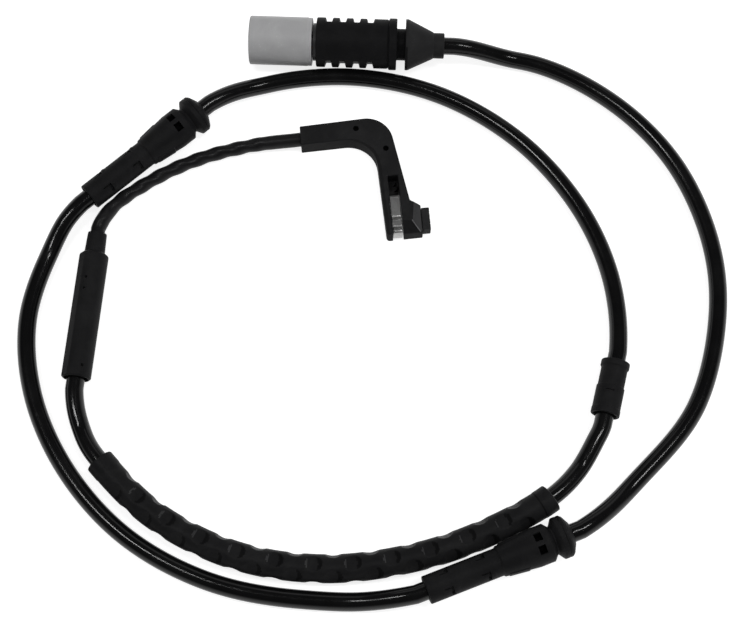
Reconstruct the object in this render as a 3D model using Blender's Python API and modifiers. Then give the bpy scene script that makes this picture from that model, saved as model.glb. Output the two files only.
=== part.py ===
"""Brake pad wear sensor: a clip-on sensor head, a thin lead, a splice and a long jacketed
cable that carries a dimpled sleeve, a bush and two bracket grommets to a round connector.

The harness lies flat on the plane z = 0. The origin is under the middle of the sensor head.
"""

import math

import bmesh
import bpy
from mathutils import Matrix, Vector

MM = 0.001

# Fits and wires
FIT = 0.3 * MM                     # gap between pieces that seat on each other
CABLE_FIT = 0.5 * MM               # gap round the cable in a straight fitting
CABLE_RADIUS = 2.6 * MM
LEAD_RADIUS = 2.1 * MM
CORE_RADIUS = 0.55 * MM            # one insulated core, in the cable and in the lead
EDGE = 0.4 * MM                    # small chamfer on moulded edges
OVERCUT = 3.0 * MM                 # how far a cut runs on past an open side
MERGE = 0.01 * MM                  # below which points of one surface are one

# Sensor head, drawn in plan and extruded to its thickness
HEAD_THICKNESS = 6.1 * MM
HEAD_BEVEL = 0.35 * MM
INNER_CHAMFER = 0.9 * MM           # along the upper edge of the inner leg
# Corners of the plan in mm with their rounding, counter-clockwise
HEAD_CORNERS = (
    (-18.9, 9.9, 0.3),             # arm's end face, inner side
    (2.8, 12.5, 8.8),              # inside of the bend
    (6.55, -18.5, 1.0),            # inner leg's end
    (17.1, -17.3, 0.5),            # wedge, low corner
    (16.4, -8.9, 0.5),            # wedge, upper corner
    (13.3, -7.7, 0.8),             # where the wedge leaves the outer leg
    (6.6, 19.45, 8.0),             # outside of the bend
    (-19.4, 15.9, 0.3),            # arm's end face, outer side
)
ARM_HEADING = 7.5                  # degrees, from the arm's end face towards the bend
LEAD_SEAT = (-19.15 * MM, 12.95 * MM)
SOCKET_DEPTH = 8.0 * MM            # how far the lead's seat reaches into the arm
SLOT_WIDTH = 3.1 * MM
SLOT_TOP = (8.25 * MM, 0.1 * MM)
SLOT_HEADING = -84.6
POCKET_LENGTH = 4.0 * MM           # blind stretch at the top of the slot
POCKET_DEPTH = 4.5 * MM
PIN_MARK_RADIUS = 0.65 * MM
PIN_MARK_DEPTH = 1.0 * MM
PIN_MARKS = ((-2.6 * MM, 15.2 * MM), (6.3 * MM, 8.8 * MM))

# Sloped faces of the wedge, each falling away from a ridge line in its top
OUTER_RIDGE = (14.1 * MM, -9.6 * MM)
OUTER_RIDGE_HEADING = -93.0
OUTER_SLOPE = 24.0
LOW_RIDGE = (14.0 * MM, -14.0 * MM)
LOW_RIDGE_HEADING = 0.0
LOW_SLOPE = 20.0
LOW_RIDGE_START = 4.6 * MM         # from the ridge point back into the slot

# Wear tip on the wedge, and the wire loop that runs to it
TIP_START = (16.47 * MM, -9.75 * MM)
TIP_HEADING = -85.3                # along the wedge's outer face
TIP_LENGTH = 6.85 * MM
TIP_STAND = 2.1 * MM               # how far it stands out
TIP_HEIGHT = 4.0 * MM
TIP_BEVEL = 0.2 * MM
TENON_DEPTH = 1.5 * MM
TENON_LENGTH = 5.0 * MM
TENON_HEIGHT = 2.2 * MM
WIRE_RADIUS = 0.15 * MM
WIRE_SPACING = 1.6 * MM            # between the loop's two runs
WIRE_PATH = ((-1.5, 15.2), (2.6, 14.5), (5.6, 12.3), (7.8, 8.4), (9.6, 3.6), (10.55, 0.0),
             (11.4, -4.0), (12.4, -8.0), (13.9, -11.0), (17.6, -12.6))

# Sprung clip in the slot: its profile as (distance down the slot, depth below the head's top) in mm
CLIP_THICKNESS = 0.4 * MM
CLIP_PROFILE = ((2.2, 3.9), (5.0, 3.5), (5.9, 1.4), (6.9, 0.8), (12.9, 0.8), (13.4, 1.6), (13.9, 0.8),
                (16.0, 0.8), (16.5, 1.6), (17.0, 0.9), (17.6, 1.1), (18.1, 2.2), (18.1, 4.1))

# Splice sleeve between the lead and the cable, drawn from its cable end
SPLICE_MOUTH = (-81.7 * MM, -61.5 * MM)
SPLICE_HEADING = 85.2
SPLICE_LENGTH = 38.0 * MM
SPLICE_WALL = 1.35 * MM
SPLICE_CHAMFER = 0.9 * MM
SPLICE_RECESS = 1.4 * MM           # depth of the mouth's recess round the cable
SPLICE_FLARE = 0.4 * MM            # width of that recess
SPLICE_CABLE_SEAT = 9.0 * MM       # how far the cable reaches in
SPLICE_LEAD_SEAT = 8.0 * MM        # how far the lead reaches in
NOSE_LENGTH = 6.0 * MM
NOSE_WALL = 0.55 * MM
NOSE_DRAFT = 0.2 * MM
CRIMP_LENGTH = 9.0 * MM
CRIMP_WALL = 0.35 * MM
CRIMP_GAP = 2.2 * MM               # between the two core ends in a crimp
CORE_SPREAD = 3.0 * MM             # over which the cores move apart after they leave a cord

# Protective sleeve with dimples
SLEEVE_WALL = 1.15 * MM
SLEEVE_COLLAR = 4.0 * MM           # plain stretch at each end
SLEEVE_LENGTH = 138.4 * MM
DIMPLE_PITCH = 10.75 * MM
DIMPLE_ROWS = 6
DIMPLE_ROLL = 47.0                 # of the first row, off the top to the right
DIMPLE_RADIUS = 2.5 * MM
DIMPLE_DEPTH = 0.6 * MM
SLEEVE_SIDES = 24
RINGS_PER_PITCH = 5

# Small bush
BUSH_LOW_END = (67.6 * MM, -72.1 * MM)
BUSH_HEADING = 75.9
BUSH_LENGTH = 16.0 * MM
BUSH_WALL = 1.0 * MM
BUSH_LIP = 1.7 * MM
BUSH_WAIST = 0.4 * MM

# Bracket grommets, both from one mould, drawn from the slim end
GROMMET_LENGTH = 42.6 * MM
GROMMET_WALL = 0.85 * MM           # of the slim part
GROMMET_RISE = 1.5 * MM            # from the slim part up to the body
GROMMET_TAPER = 10.0 * MM
GROMMET_BODY = 4.2 * MM
GROOVE_WIDTH = 2.9 * MM
GROOVE_DEPTH = 1.35 * MM
GROOVE_FLOOR = 0.3 * MM
TAPER_STEP = 0.4 * MM              # small rise where the taper starts
FLANGE_RISE = 0.45 * MM            # flange above body
FLANGE_LENGTH = 3.9 * MM
FLANGE_CHAMFER = 1.2 * MM
FLANGE_LIP = 0.3 * MM              # left round the bore at the flange's outer end
WINDOW_SIDE = 2.0 * MM             # square pockets in the body
WINDOW_DEPTH = 1.1 * MM
WINDOW_ANGLE = 21.0
DENT_SIDE = 1.1 * MM
DENT_DEPTH = 0.5 * MM
DENT_ANGLE = 38.0
DENT_STATIONS = (6.6 * MM, 17.4 * MM)
GROMMET_1_SLIM_END = (-80.7 * MM, -6.8 * MM)
GROMMET_1_HEADING = 41.4
GROMMET_2_SLIM_END = (16.8 * MM, -121.2 * MM)
GROMMET_2_HEADING = 21.2

# Connector, drawn from its rear end, where the cable comes out
CONNECTOR_REAR = (23.95 * MM, 41.7 * MM)
CONNECTOR_HEADING = 178.0
SHELL_RADIUS = 7.25 * MM
SHELL_WALL = 1.4 * MM
SHELL_LENGTH = 18.8 * MM
SHELL_REAR_WALL = 2.6 * MM
SHELL_ROUNDING = 0.6 * MM
SHELL_REAR_EDGE = 0.2 * MM
SEAL_WALL = 0.7 * MM
CARRIER_RECESS = 6.5 * MM          # from the shell's mouth to the contact carrier
CONTACT_OFFSET = 1.9 * MM
CONTACT_RADIUS = 1.15 * MM
CONTACT_BORE = 0.5 * MM
CONTACT_LENGTH = 8.0 * MM
CONTACT_SETBACK = 1.0 * MM         # from the carrier's rear face to the contacts
CAP_RADIUS = 5.6 * MM
CAP_SHOW = 1.0 * MM                # what shows of the rear cap between shell and boot
CAP_LENGTH = 3.0 * MM
BOOT_RADIUS = 7.4 * MM
BOOT_BODY = 24.2 * MM
BOOT_FLANGE = 2.4 * MM
BOOT_FLANGE_RADIUS = 7.7 * MM
NECK_RADIUS = 4.7 * MM
NECK_LENGTH = 2.6 * MM
CONE_RADIUS = 7.6 * MM
CONE_LENGTH = 8.1 * MM
CONE_RIM = 0.8 * MM
CONE_LIP = 0.3 * MM                # step from the collar up to the cone
COLLAR_WALL = 0.7 * MM
COLLAR_LENGTH = 3.6 * MM
BOOT_CABLE_SEAT = 28.5 * MM        # how far the cable reaches into the boot
BOOT_CAVITY_STEP = 0.8 * MM        # from the cable's bore out to the cavity
BOOT_CAVITY_LAP = 1.0 * MM         # of the cable's end that stands in the cavity
BOOT_LINE = 0.15 * MM              # depth of the line round the rear flange
CORE_STRAIGHT = 2.5 * MM           # before the cores spread in the boot
BOOT_CORE_SPREAD = 3.5 * MM
NOTCH_COUNT = 4
NOTCH_PITCH = 4.15 * MM
NOTCH_WIDTH = 1.9 * MM
NOTCH_DEPTH = 1.6 * MM
NOTCH_FIRST = 3.75 * MM            # from the boot's front edge to the first notch
NOTCH_ROLL = -23.0                 # the far side's notches are turned up, the near side's down

# Free stretches of the cable in plan, in mm, from the splice to the connector
FREE_TO_SLEEVE = ((-80.9, -71.5), (-77.8, -79.5))
SLEEVE_PATH = ((-73.6, -85.3), (-57.9, -100.3), (-35.4, -111.4), (-10.6, -115.1), (13.9, -112.0),
               (33.4, -105.4), (51.5, -95.6))
FREE_TO_BUSH = ((59.4, -88.0), (64.9, -79.0))
FREE_TO_GROMMET_1 = ((71.8, -32.0), (63.5, -9.2), (46.6, 12.4), (22.7, 27.8), (-4.4, 33.9), (-30.7, 31.0))
FREE_TO_GROMMET_2 = ((-89.9, -18.6), (-96.8, -42.1), (-94.1, -65.1), (-83.4, -87.2), (-66.0, -105.8),
                     (-42.8, -118.2), (-17.0, -123.2))
FREE_TO_CONNECTOR = ((77.1, -89.2), (93.8, -69.2), (101.8, -41.8), (101.1, -18.8), (92.2, 5.4),
                     (76.0, 24.4), (53.5, 37.6))
# Free stretch of the lead in plan, in mm, from the head to the splice
FREE_LEAD = ((-34.5, 11.2), (-49.0, 7.2), (-62.2, 0.8), (-72.7, -7.3))
GUARD = 3.0 * MM                   # straight stretch that a fitting keeps outside each end
LEAD_GUARD = 1.5 * MM
RAMP = 20.0 * MM                   # over which a cord comes down from a fitting to the floor
CABLE_STEP = 13.0 * MM             # spacing of the points along the cable
LEAD_STEP = 7.5 * MM

# Derived sizes
ARM_HEIGHT = HEAD_THICKNESS / 2
CRIMP_RADIUS = CORE_RADIUS + FIT + CRIMP_WALL
CORE_OFFSET = CRIMP_RADIUS + FIT / 2
SPLICE_CHAMBER = CORE_OFFSET + CRIMP_RADIUS + FIT
SPLICE_RADIUS = SPLICE_CHAMBER + SPLICE_WALL
SLEEVE_RADIUS = CABLE_RADIUS + FIT + SLEEVE_WALL
BUSH_RADIUS = CABLE_RADIUS + CABLE_FIT + BUSH_WALL
GROMMET_SLIM = CABLE_RADIUS + CABLE_FIT + GROMMET_WALL
GROMMET_RADIUS = GROMMET_SLIM + GROMMET_RISE
FLANGE_RADIUS = GROMMET_RADIUS + FLANGE_RISE
CONNECTOR_HEIGHT = max(CONE_RADIUS, BOOT_FLANGE_RADIUS, SHELL_RADIUS)
BOOT_LENGTH = BOOT_BODY + NECK_LENGTH + CONE_LENGTH + COLLAR_LENGTH


def clear_scene():
    for old in list(bpy.data.objects):
        bpy.data.objects.remove(old, do_unlink=True)


def make_collection(name):
    made = bpy.data.collections.new(name)
    bpy.context.scene.collection.children.link(made)
    return made


def plastic(name, shade, roughness, metallic=0.0):
    made = bpy.data.materials.new(name)
    made.use_nodes = True
    shader = made.node_tree.nodes["Principled BSDF"]
    shader.inputs["Base Color"].default_value = (*shade, 1.0)
    shader.inputs["Roughness"].default_value = roughness
    shader.inputs["Metallic"].default_value = metallic
    return made


def add_object(name, data, finish=None, place=None, cutter=False):
    made = bpy.data.objects.new(name, data)
    (CUTTERS if cutter else PARTS).objects.link(made)
    if finish is not None:
        data.materials.append(finish)
    if place is not None:
        made.matrix_world = place
    if cutter:
        made.hide_render = True
        made.display_type = "WIRE"
    return made


def lying(start, heading, height):
    """Place whose local +Z runs level along the heading; its local -X is up."""
    spot = Matrix.Translation((start[0], start[1], height))
    return spot @ Matrix.Rotation(math.radians(heading), 4, "Z") @ Matrix.Rotation(math.pi / 2, 4, "Y")


def along(start, heading, distance):
    angle = math.radians(heading)
    return (start[0] + distance * math.cos(angle), start[1] + distance * math.sin(angle))


def turned(name, profile, place, finish=None, sides=16, cutter=False):
    """Turn a closed profile of (radius, station) points, given down its outer side."""
    mesh = bpy.data.meshes.new(name)
    corners = [(radius, 0.0, station) for radius, station in profile]
    edges = [(i, i + 1) for i in range(len(corners) - 1)]
    if profile[0][0] > 0.0:
        edges.append((len(corners) - 1, 0))
    mesh.from_pydata(corners, edges, [])
    made = add_object(name, mesh, finish, place, cutter)
    screw = made.modifiers.new("Turn", "SCREW")
    screw.steps = sides
    screw.render_steps = sides
    screw.use_merge_vertices = True
    screw.merge_threshold = MERGE
    return made


def bored(outside, bore, top, low):
    """Close an outside profile, given from top to low, with a straight bore."""
    return outside + [(bore, low), (bore, top)]


def tube(name, points, radius, finish=None, roundness=2, cutter=False):
    curve = bpy.data.curves.new(name, "CURVE")
    curve.dimensions = "3D"
    curve.bevel_depth = radius
    curve.bevel_resolution = roundness
    curve.use_fill_caps = True
    line = curve.splines.new("POLY")
    line.points.add(len(points) - 1)
    for spot, point in zip(line.points, points):
        spot.co = (*point, 1.0)
    return add_object(name, curve, finish, None, cutter)


def as_mesh(curve_object):
    """Replace a curve object with its welded mesh, so that it can be cut."""
    name = curve_object.name
    graph = bpy.context.evaluated_depsgraph_get()
    mesh = bpy.data.meshes.new_from_object(curve_object.evaluated_get(graph))
    work = bmesh.new()
    work.from_mesh(mesh)
    bmesh.ops.remove_doubles(work, verts=work.verts, dist=MERGE / 10)
    work.to_mesh(mesh)
    work.free()
    keep = (curve_object.users_collection[0], curve_object.matrix_world.copy(),
            curve_object.hide_render, curve_object.display_type)
    bpy.data.objects.remove(curve_object, do_unlink=True)
    made = bpy.data.objects.new(name, mesh)
    keep[0].objects.link(made)
    made.matrix_world = keep[1]
    made.hide_render = keep[2]
    made.display_type = keep[3]
    return made


def block(name, size, place, finish=None, cutter=False):
    mesh = bpy.data.meshes.new(name)
    work = bmesh.new()
    bmesh.ops.create_cube(work, size=1.0, matrix=Matrix.Diagonal((*size, 1.0)))
    work.to_mesh(mesh)
    work.free()
    return add_object(name, mesh, finish, place, cutter)


def cut(target, cutter, operation="DIFFERENCE"):
    trim = target.modifiers.new(cutter.name, "BOOLEAN")
    trim.object = cutter
    trim.operation = operation
    trim.solver = "EXACT"


def spline_point(corners, times, t):
    """A point on the span between the middle two of four corners."""
    def mix(first, second, start, end):
        return first.lerp(second, (t - times[start]) / (times[end] - times[start]))

    a, b, c = (mix(corners[i], corners[i + 1], i, i + 1) for i in range(3))
    return mix(mix(a, b, 0, 2), mix(b, c, 1, 3), 1, 2)


def plan_route(controls, straight, step):
    """A smooth plan route through the controls; a straight span stays one chord."""
    ends = [2 * controls[0] - controls[1], *controls, 2 * controls[-1] - controls[-2]]
    route = [controls[0]]
    for i in range(len(controls) - 1):
        corners = ends[i:i + 4]
        times = [0.0]
        for first, second in zip(corners, corners[1:]):
            times.append(times[-1] + math.sqrt((second - first).length))
        count = 1 if i in straight else max(1, round((corners[2] - corners[1]).length / step))
        for k in range(1, count + 1):
            route.append(spline_point(corners, times, times[1] + (times[2] - times[1]) * k / count))
    return route


def distances(route):
    run = [0.0]
    for first, second in zip(route, route[1:]):
        run.append(run[-1] + (second - first).length)
    return run


def raise_route(route, seats, floor):
    """Lift a plan route to each seat's height; it comes down to the floor height in between.

    A seat is (first index, last index, height).
    """
    run = distances(route)
    raised = []
    for point, here in zip(route, run):
        height = floor
        for first, last, top in seats:
            away = max(run[first] - here, here - run[last], 0.0) / RAMP
            share = 0.0 if away >= 1.0 else 0.5 + 0.5 * math.cos(math.pi * away)
            height = max(height, floor + (top - floor) * share)
        raised.append(Vector((point.x, point.y, height)))
    return raised


class Route:
    """Collects the plan points of a cord, its straight spans and its raised seats."""

    def __init__(self):
        self.controls = []
        self.straight = []
        self.marks = {}

    def free(self, points):
        self.controls += [Vector((x, y)) * MM for x, y in points]

    def seat(self, name, start, heading, stations, height):
        """A straight stretch through a fitting; the stations include the guards."""
        first = len(self.controls)
        self.controls += [Vector(along(start, heading, distance)) for distance in stations]
        last = len(self.controls) - 1
        self.straight += range(first, last)
        self.marks[name] = (first, last, height)

    def curved_seat(self, name, points, height):
        first = len(self.controls)
        self.free(points)
        self.marks[name] = (first, len(self.controls) - 1, height)

    def trace(self, step, floor):
        """The cord's points, and each seat's first and last index in them."""
        flat_route = plan_route(self.controls, self.straight, step)
        index = []
        for control in self.controls:
            index.append(min(range(len(flat_route)), key=lambda i: (flat_route[i] - control).length))
        seats = {name: (index[a], index[b], top) for name, (a, b, top) in self.marks.items()}
        return raise_route(flat_route, seats.values(), floor), seats


def cable_route():
    route = Route()
    route.seat("splice", SPLICE_MOUTH, SPLICE_HEADING, (SPLICE_CABLE_SEAT, 0.0, -GUARD), SPLICE_RADIUS)
    route.free(FREE_TO_SLEEVE)
    route.curved_seat("sleeve", SLEEVE_PATH, SLEEVE_RADIUS)
    route.free(FREE_TO_BUSH)
    route.seat("bush", BUSH_LOW_END, BUSH_HEADING, (-GUARD, BUSH_LENGTH + GUARD), BUSH_RADIUS)
    route.free(FREE_TO_GROMMET_1)
    route.seat("grommet_1", GROMMET_1_SLIM_END, GROMMET_1_HEADING, (GROMMET_LENGTH + GUARD, -GUARD),
               FLANGE_RADIUS)
    route.free(FREE_TO_GROMMET_2)
    route.seat("grommet_2", GROMMET_2_SLIM_END, GROMMET_2_HEADING, (-GUARD, GROMMET_LENGTH + GUARD),
               FLANGE_RADIUS)
    route.free(FREE_TO_CONNECTOR)
    route.seat("connector", CONNECTOR_REAR, CONNECTOR_HEADING, (-GUARD, BOOT_CABLE_SEAT), CONNECTOR_HEIGHT)
    return route.trace(CABLE_STEP, CABLE_RADIUS)


def lead_route():
    route = Route()
    route.seat("head", LEAD_SEAT, ARM_HEADING, (SOCKET_DEPTH - FIT, -LEAD_GUARD), ARM_HEIGHT)
    route.free(FREE_LEAD)
    top = SPLICE_LENGTH + NOSE_LENGTH
    route.seat("splice", SPLICE_MOUTH, SPLICE_HEADING, (top + LEAD_GUARD, SPLICE_LENGTH - SPLICE_LEAD_SEAT),
               SPLICE_RADIUS)
    return route.trace(LEAD_STEP, LEAD_RADIUS)


def bend_along(mesh, route, offset):
    """Bend a straight mesh, with its axis on local Z from 0, along a level route."""
    run = distances(route)
    for corner in mesh.vertices:
        station = corner.co.z + offset
        i = max(j for j in range(len(run) - 1) if run[j] <= station or j == 0)
        share = (station - run[i]) / (run[i + 1] - run[i])
        centre = route[i].lerp(route[i + 1], share)
        ahead = tangent(route, i).lerp(tangent(route, i + 1), share).normalized()
        side = ahead.cross(Vector((0.0, 0.0, 1.0)))
        corner.co = centre + Vector((0.0, 0.0, 1.0)) * corner.co.x + side * corner.co.y


def tangent(route, i):
    before = route[max(i - 1, 0)]
    after = route[min(i + 1, len(route) - 1)]
    return (after - before).normalized()


def shifted_corners(corners, insets):
    """Plan corners after each edge has moved inwards by its own inset."""
    spots = [Vector(corner[:2]) for corner in corners]
    count = len(spots)
    lines = []
    for i, inset in enumerate(insets):
        ahead = (spots[(i + 1) % count] - spots[i]).normalized()
        lines.append((spots[i] + Vector((-ahead.y, ahead.x)) * inset, ahead))
    moved = []
    for i in range(count):
        (point, ahead), (other, turn) = lines[i - 1], lines[i]
        reach = (other - point).cross(turn) / ahead.cross(turn)
        moved.append(point + ahead * reach)
    return moved


def rounded_outline(corners, insets, steps):
    """Closed outline through the corners, each with an arc of its own radius."""
    spots = shifted_corners(corners, insets)
    count = len(spots)
    outline = []
    for i, spot in enumerate(spots):
        before = (spot - spots[i - 1]).normalized()
        after = (spots[(i + 1) % count] - spot).normalized()
        turn = math.atan2(before.cross(after), before.dot(after))
        shift = -1.0 if turn > 0.0 else 1.0
        radius = max(corners[i][2] + shift * (insets[i - 1] + insets[i]) / 2, 5 * MERGE)
        reach = radius * math.tan(abs(turn) / 2)
        start = spot - before * reach
        side = Vector((-before.y, before.x)) * math.copysign(radius, turn)
        centre = start + side
        bends = steps if corners[i][2] > MM else 2
        for k in range(bends + 1):
            spin = Matrix.Rotation(turn * k / bends, 2)
            outline.append(centre + spin @ -side)
    return outline


def lofted(name, levels, finish):
    """A closed solid through outlines of equal count, given as (height, outline) from low to high."""
    mesh = bpy.data.meshes.new(name)
    work = bmesh.new()
    rings = [[work.verts.new((p.x, p.y, height)) for p in outline] for height, outline in levels]
    count = len(rings[0])
    for low, high in zip(rings, rings[1:]):
        for i in range(count):
            j = (i + 1) % count
            work.faces.new((low[i], low[j], high[j], high[i]))
    work.faces.new(reversed(rings[0]))
    work.faces.new(rings[-1])
    work.to_mesh(mesh)
    work.free()
    return add_object(name, mesh, finish)


def ribbon(name, points, across, thickness, place, finish=None, cutter=False):
    """A strip of even thickness that follows points in its local XY plane."""
    mesh = bpy.data.meshes.new(name)
    half = across / 2
    corners = [(x, y, -half) for x, y in points] + [(x, y, half) for x, y in points]
    count = len(points)
    faces = [(i, i + 1, count + i + 1, count + i) for i in range(count - 1)]
    mesh.from_pydata(corners, [], faces)
    made = add_object(name, mesh, finish, place, cutter)
    thick = made.modifiers.new("Thickness", "SOLIDIFY")
    thick.thickness = thickness
    thick.offset = 0.0
    thick.use_even_offset = True
    return made


def scaled(points):
    return [(x * MM, y * MM) for x, y in points]


def upright(start, heading, height=0.0):
    """Place whose local +X runs along the heading and local +Z is up."""
    return Matrix.Translation((start[0], start[1], height)) @ Matrix.Rotation(math.radians(heading), 4, "Z")


def tilted_cutter(name, ridge, heading, slope, start, stop):
    """A block above a plane that falls away to the right of a ridge line, between two places on it."""
    size = 2 * HEAD_THICKNESS
    place = upright(ridge, heading, HEAD_THICKNESS) @ Matrix.Rotation(math.radians(slope), 4, "X")
    shift = Matrix.Translation(((start + stop) / 2, 0.0, size / 2))
    return block(name, (stop - start, 2 * size, size), place @ shift, cutter=True)


def sensor_body(finish):
    corners = [(x * MM, y * MM, r * MM) for x, y, r in HEAD_CORNERS]
    edges = len(corners)
    rim = [HEAD_BEVEL] * edges
    none = [0.0] * edges
    half = [0.0] * edges
    half[1] = INNER_CHAMFER - HEAD_BEVEL
    top = list(rim)
    top[1] = INNER_CHAMFER
    heights = (0.0, HEAD_BEVEL, HEAD_THICKNESS - INNER_CHAMFER, HEAD_THICKNESS - HEAD_BEVEL, HEAD_THICKNESS)
    levels = [(height, rounded_outline(corners, insets, 7))
              for height, insets in zip(heights, (rim, none, none, half, top))]
    body = lofted("sensor_body", levels, finish)

    leg_end = min(y for _, y, _ in corners)
    past = SLOT_TOP[1] - leg_end + OVERCUT
    cut(body, tilted_cutter("wedge_outer_slope", OUTER_RIDGE, OUTER_RIDGE_HEADING + 180, OUTER_SLOPE,
                            -past, past))
    cut(body, tilted_cutter("wedge_low_slope", LOW_RIDGE, LOW_RIDGE_HEADING, LOW_SLOPE,
                            -LOW_RIDGE_START, past))
    slot = upright(SLOT_TOP, SLOT_HEADING)
    cut(body, block("slot_cutter", (past, SLOT_WIDTH, 4 * HEAD_THICKNESS),
                    slot @ Matrix.Translation((POCKET_LENGTH + past / 2, 0.0, 0.0)), cutter=True))
    height = POCKET_DEPTH + OVERCUT
    level = HEAD_THICKNESS - POCKET_DEPTH + height / 2
    run = POCKET_LENGTH + OVERCUT
    cut(body, block("pocket_cutter", (run, SLOT_WIDTH, height),
                    slot @ Matrix.Translation((run / 2, 0.0, level)), cutter=True))
    radius = LEAD_RADIUS + FIT
    socket = [(0.0, SOCKET_DEPTH), (radius, SOCKET_DEPTH), (radius, -OVERCUT), (0.0, -OVERCUT)]
    cut(body, turned("lead_socket_cutter", socket, lying(LEAD_SEAT, ARM_HEADING, ARM_HEIGHT), cutter=True))
    for number, spot in enumerate(PIN_MARKS):
        cut(body, pin_cutter(f"pin_mark_cutter_{number}", spot))
    cut(body, tenon("tip_socket_cutter", FIT, OVERCUT))
    cut(body, wire_channel("wire_channel_cutter"))
    return body


def pin_cutter(name, spot):
    low = HEAD_THICKNESS - PIN_MARK_DEPTH
    high = HEAD_THICKNESS + OVERCUT
    profile = [(0.0, high), (PIN_MARK_RADIUS, high), (PIN_MARK_RADIUS, low), (0.0, low)]
    return turned(name, profile, upright(spot, 0.0), sides=10, cutter=True)


def tenon(name, margin, outside):
    """The tip's tenon; with a margin, the socket that it seats in."""
    inside = TENON_DEPTH + margin
    place = upright(TIP_START, TIP_HEADING, ARM_HEIGHT)
    shift = Matrix.Translation((TIP_LENGTH / 2, (outside - inside) / 2, 0.0))
    size = (TENON_LENGTH + 2 * margin, inside + outside, TENON_HEIGHT + 2 * margin)
    return block(name, size, place @ shift, cutter=True)


def wire_points(start):
    first = along(LEAD_SEAT, ARM_HEADING, start)
    return [first, *scaled(WIRE_PATH)]


def wire_channel(name):
    height = WIRE_SPACING + 2 * (WIRE_RADIUS + FIT)
    place = Matrix.Translation((0.0, 0.0, ARM_HEIGHT))
    points = wire_points(SOCKET_DEPTH - FIT)
    around = WIRE_RADIUS + FIT
    end = Vector(points[-1]) + (Vector(points[-1]) - Vector(points[-2])).normalized() * around
    return ribbon(name, [*points[:-1], tuple(end)], height, 2 * around, place, cutter=True)


def wear_tip(finish):
    place = upright(TIP_START, TIP_HEADING, ARM_HEIGHT)
    shift = Matrix.Translation((TIP_LENGTH / 2, FIT + TIP_STAND / 2, 0.0))
    tip = block("wear_tip", (TIP_LENGTH, TIP_STAND, TIP_HEIGHT), place @ shift, finish)
    edge = tip.modifiers.new("Edges", "BEVEL")
    edge.width = TIP_BEVEL
    edge.segments = 1
    cut(tip, tenon("tip_tenon", 0.0, FIT + TIP_STAND / 2), "UNION")
    cut(tip, wire_channel("tip_channel_cutter"))
    return tip


def wear_wire(finish):
    """One loop of wire: along the arm to the tip at one height and back at the other."""
    run = wire_points(SOCKET_DEPTH)
    high = ARM_HEIGHT + WIRE_SPACING / 2
    low = ARM_HEIGHT - WIRE_SPACING / 2
    points = [(x, y, high) for x, y in run] + [(x, y, low) for x, y in reversed(run)]
    return tube("wear_wire", points, WIRE_RADIUS, finish, 1)


def spring_clip(finish):
    points = [(run * MM, HEAD_THICKNESS - depth * MM) for run, depth in CLIP_PROFILE]
    place = upright(SLOT_TOP, SLOT_HEADING) @ Matrix.Rotation(math.pi / 2, 4, "X")
    return ribbon("spring_clip", points, SLOT_WIDTH - 2 * FIT, CLIP_THICKNESS, place, finish)


def splice_sleeve(finish):
    """Moulded sleeve with a slim nose on the lead's side and a recessed mouth on the cable's."""
    radius = SPLICE_RADIUS
    nose = LEAD_RADIUS + FIT + NOSE_WALL
    top = SPLICE_LENGTH + NOSE_LENGTH
    cable_bore = CABLE_RADIUS + CABLE_FIT
    lead_bore = LEAD_RADIUS + FIT
    chamber_low = SPLICE_CABLE_SEAT + FIT
    chamber_top = SPLICE_LENGTH - SPLICE_LEAD_SEAT - FIT
    profile = [
        (nose - NOSE_DRAFT, top),
        (nose, SPLICE_LENGTH),
        (radius - SPLICE_CHAMFER, SPLICE_LENGTH - NOSE_DRAFT),
        (radius, SPLICE_LENGTH - SPLICE_CHAMFER),
        (radius, SPLICE_CHAMFER / 2),
        (radius - SPLICE_CHAMFER / 2, 0.0),
        (cable_bore + SPLICE_FLARE, 0.0),
        (cable_bore + SPLICE_FLARE, SPLICE_RECESS),
        (cable_bore, SPLICE_RECESS),
        (cable_bore, chamber_low),
        (SPLICE_CHAMBER, chamber_low),
        (SPLICE_CHAMBER, chamber_top),
        (lead_bore, chamber_top),
        (lead_bore, top),
    ]
    place = lying(SPLICE_MOUTH, SPLICE_HEADING, SPLICE_RADIUS)
    return turned("splice_sleeve", profile, place, finish, 18)


def splice_wires(crimp_finish, finishes):
    """Two crimps in the splice, with a core of the cable and one of the lead in each."""
    place = lying(SPLICE_MOUTH, SPLICE_HEADING, SPLICE_RADIUS)
    middle = (SPLICE_CABLE_SEAT + SPLICE_LENGTH - SPLICE_LEAD_SEAT) / 2
    low = middle - CRIMP_LENGTH / 2
    high = middle + CRIMP_LENGTH / 2
    bore = CORE_RADIUS + FIT
    near = (CORE_RADIUS + LEAD_RADIUS) / 2 - FIT
    for number, side in ((1, 1.0), (2, -1.0)):
        spot = place @ Matrix.Translation((0.0, side * CORE_OFFSET, 0.0))
        outside = [(CRIMP_RADIUS, high), (CRIMP_RADIUS, low)]
        turned(f"splice_crimp_{number}", bored(outside, bore, high, low), spot, crimp_finish, 10)
        cable_end = SPLICE_CABLE_SEAT + FIT
        lead_end = SPLICE_LENGTH - SPLICE_LEAD_SEAT - FIT
        for name, start, stop in (("cable", cable_end, middle - CRIMP_GAP / 2),
                                  ("lead", lead_end, middle + CRIMP_GAP / 2)):
            spread = math.copysign(CORE_SPREAD, stop - start)
            path = [(0.0, side * near, start), (0.0, side * near, start + spread / 3),
                    (0.0, side * CORE_OFFSET, start + spread), (0.0, side * CORE_OFFSET, stop)]
            points = [place @ Vector(point) for point in path]
            tube(f"{name}_core_{number}", points, CORE_RADIUS, finishes[number - 1], 1)


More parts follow.
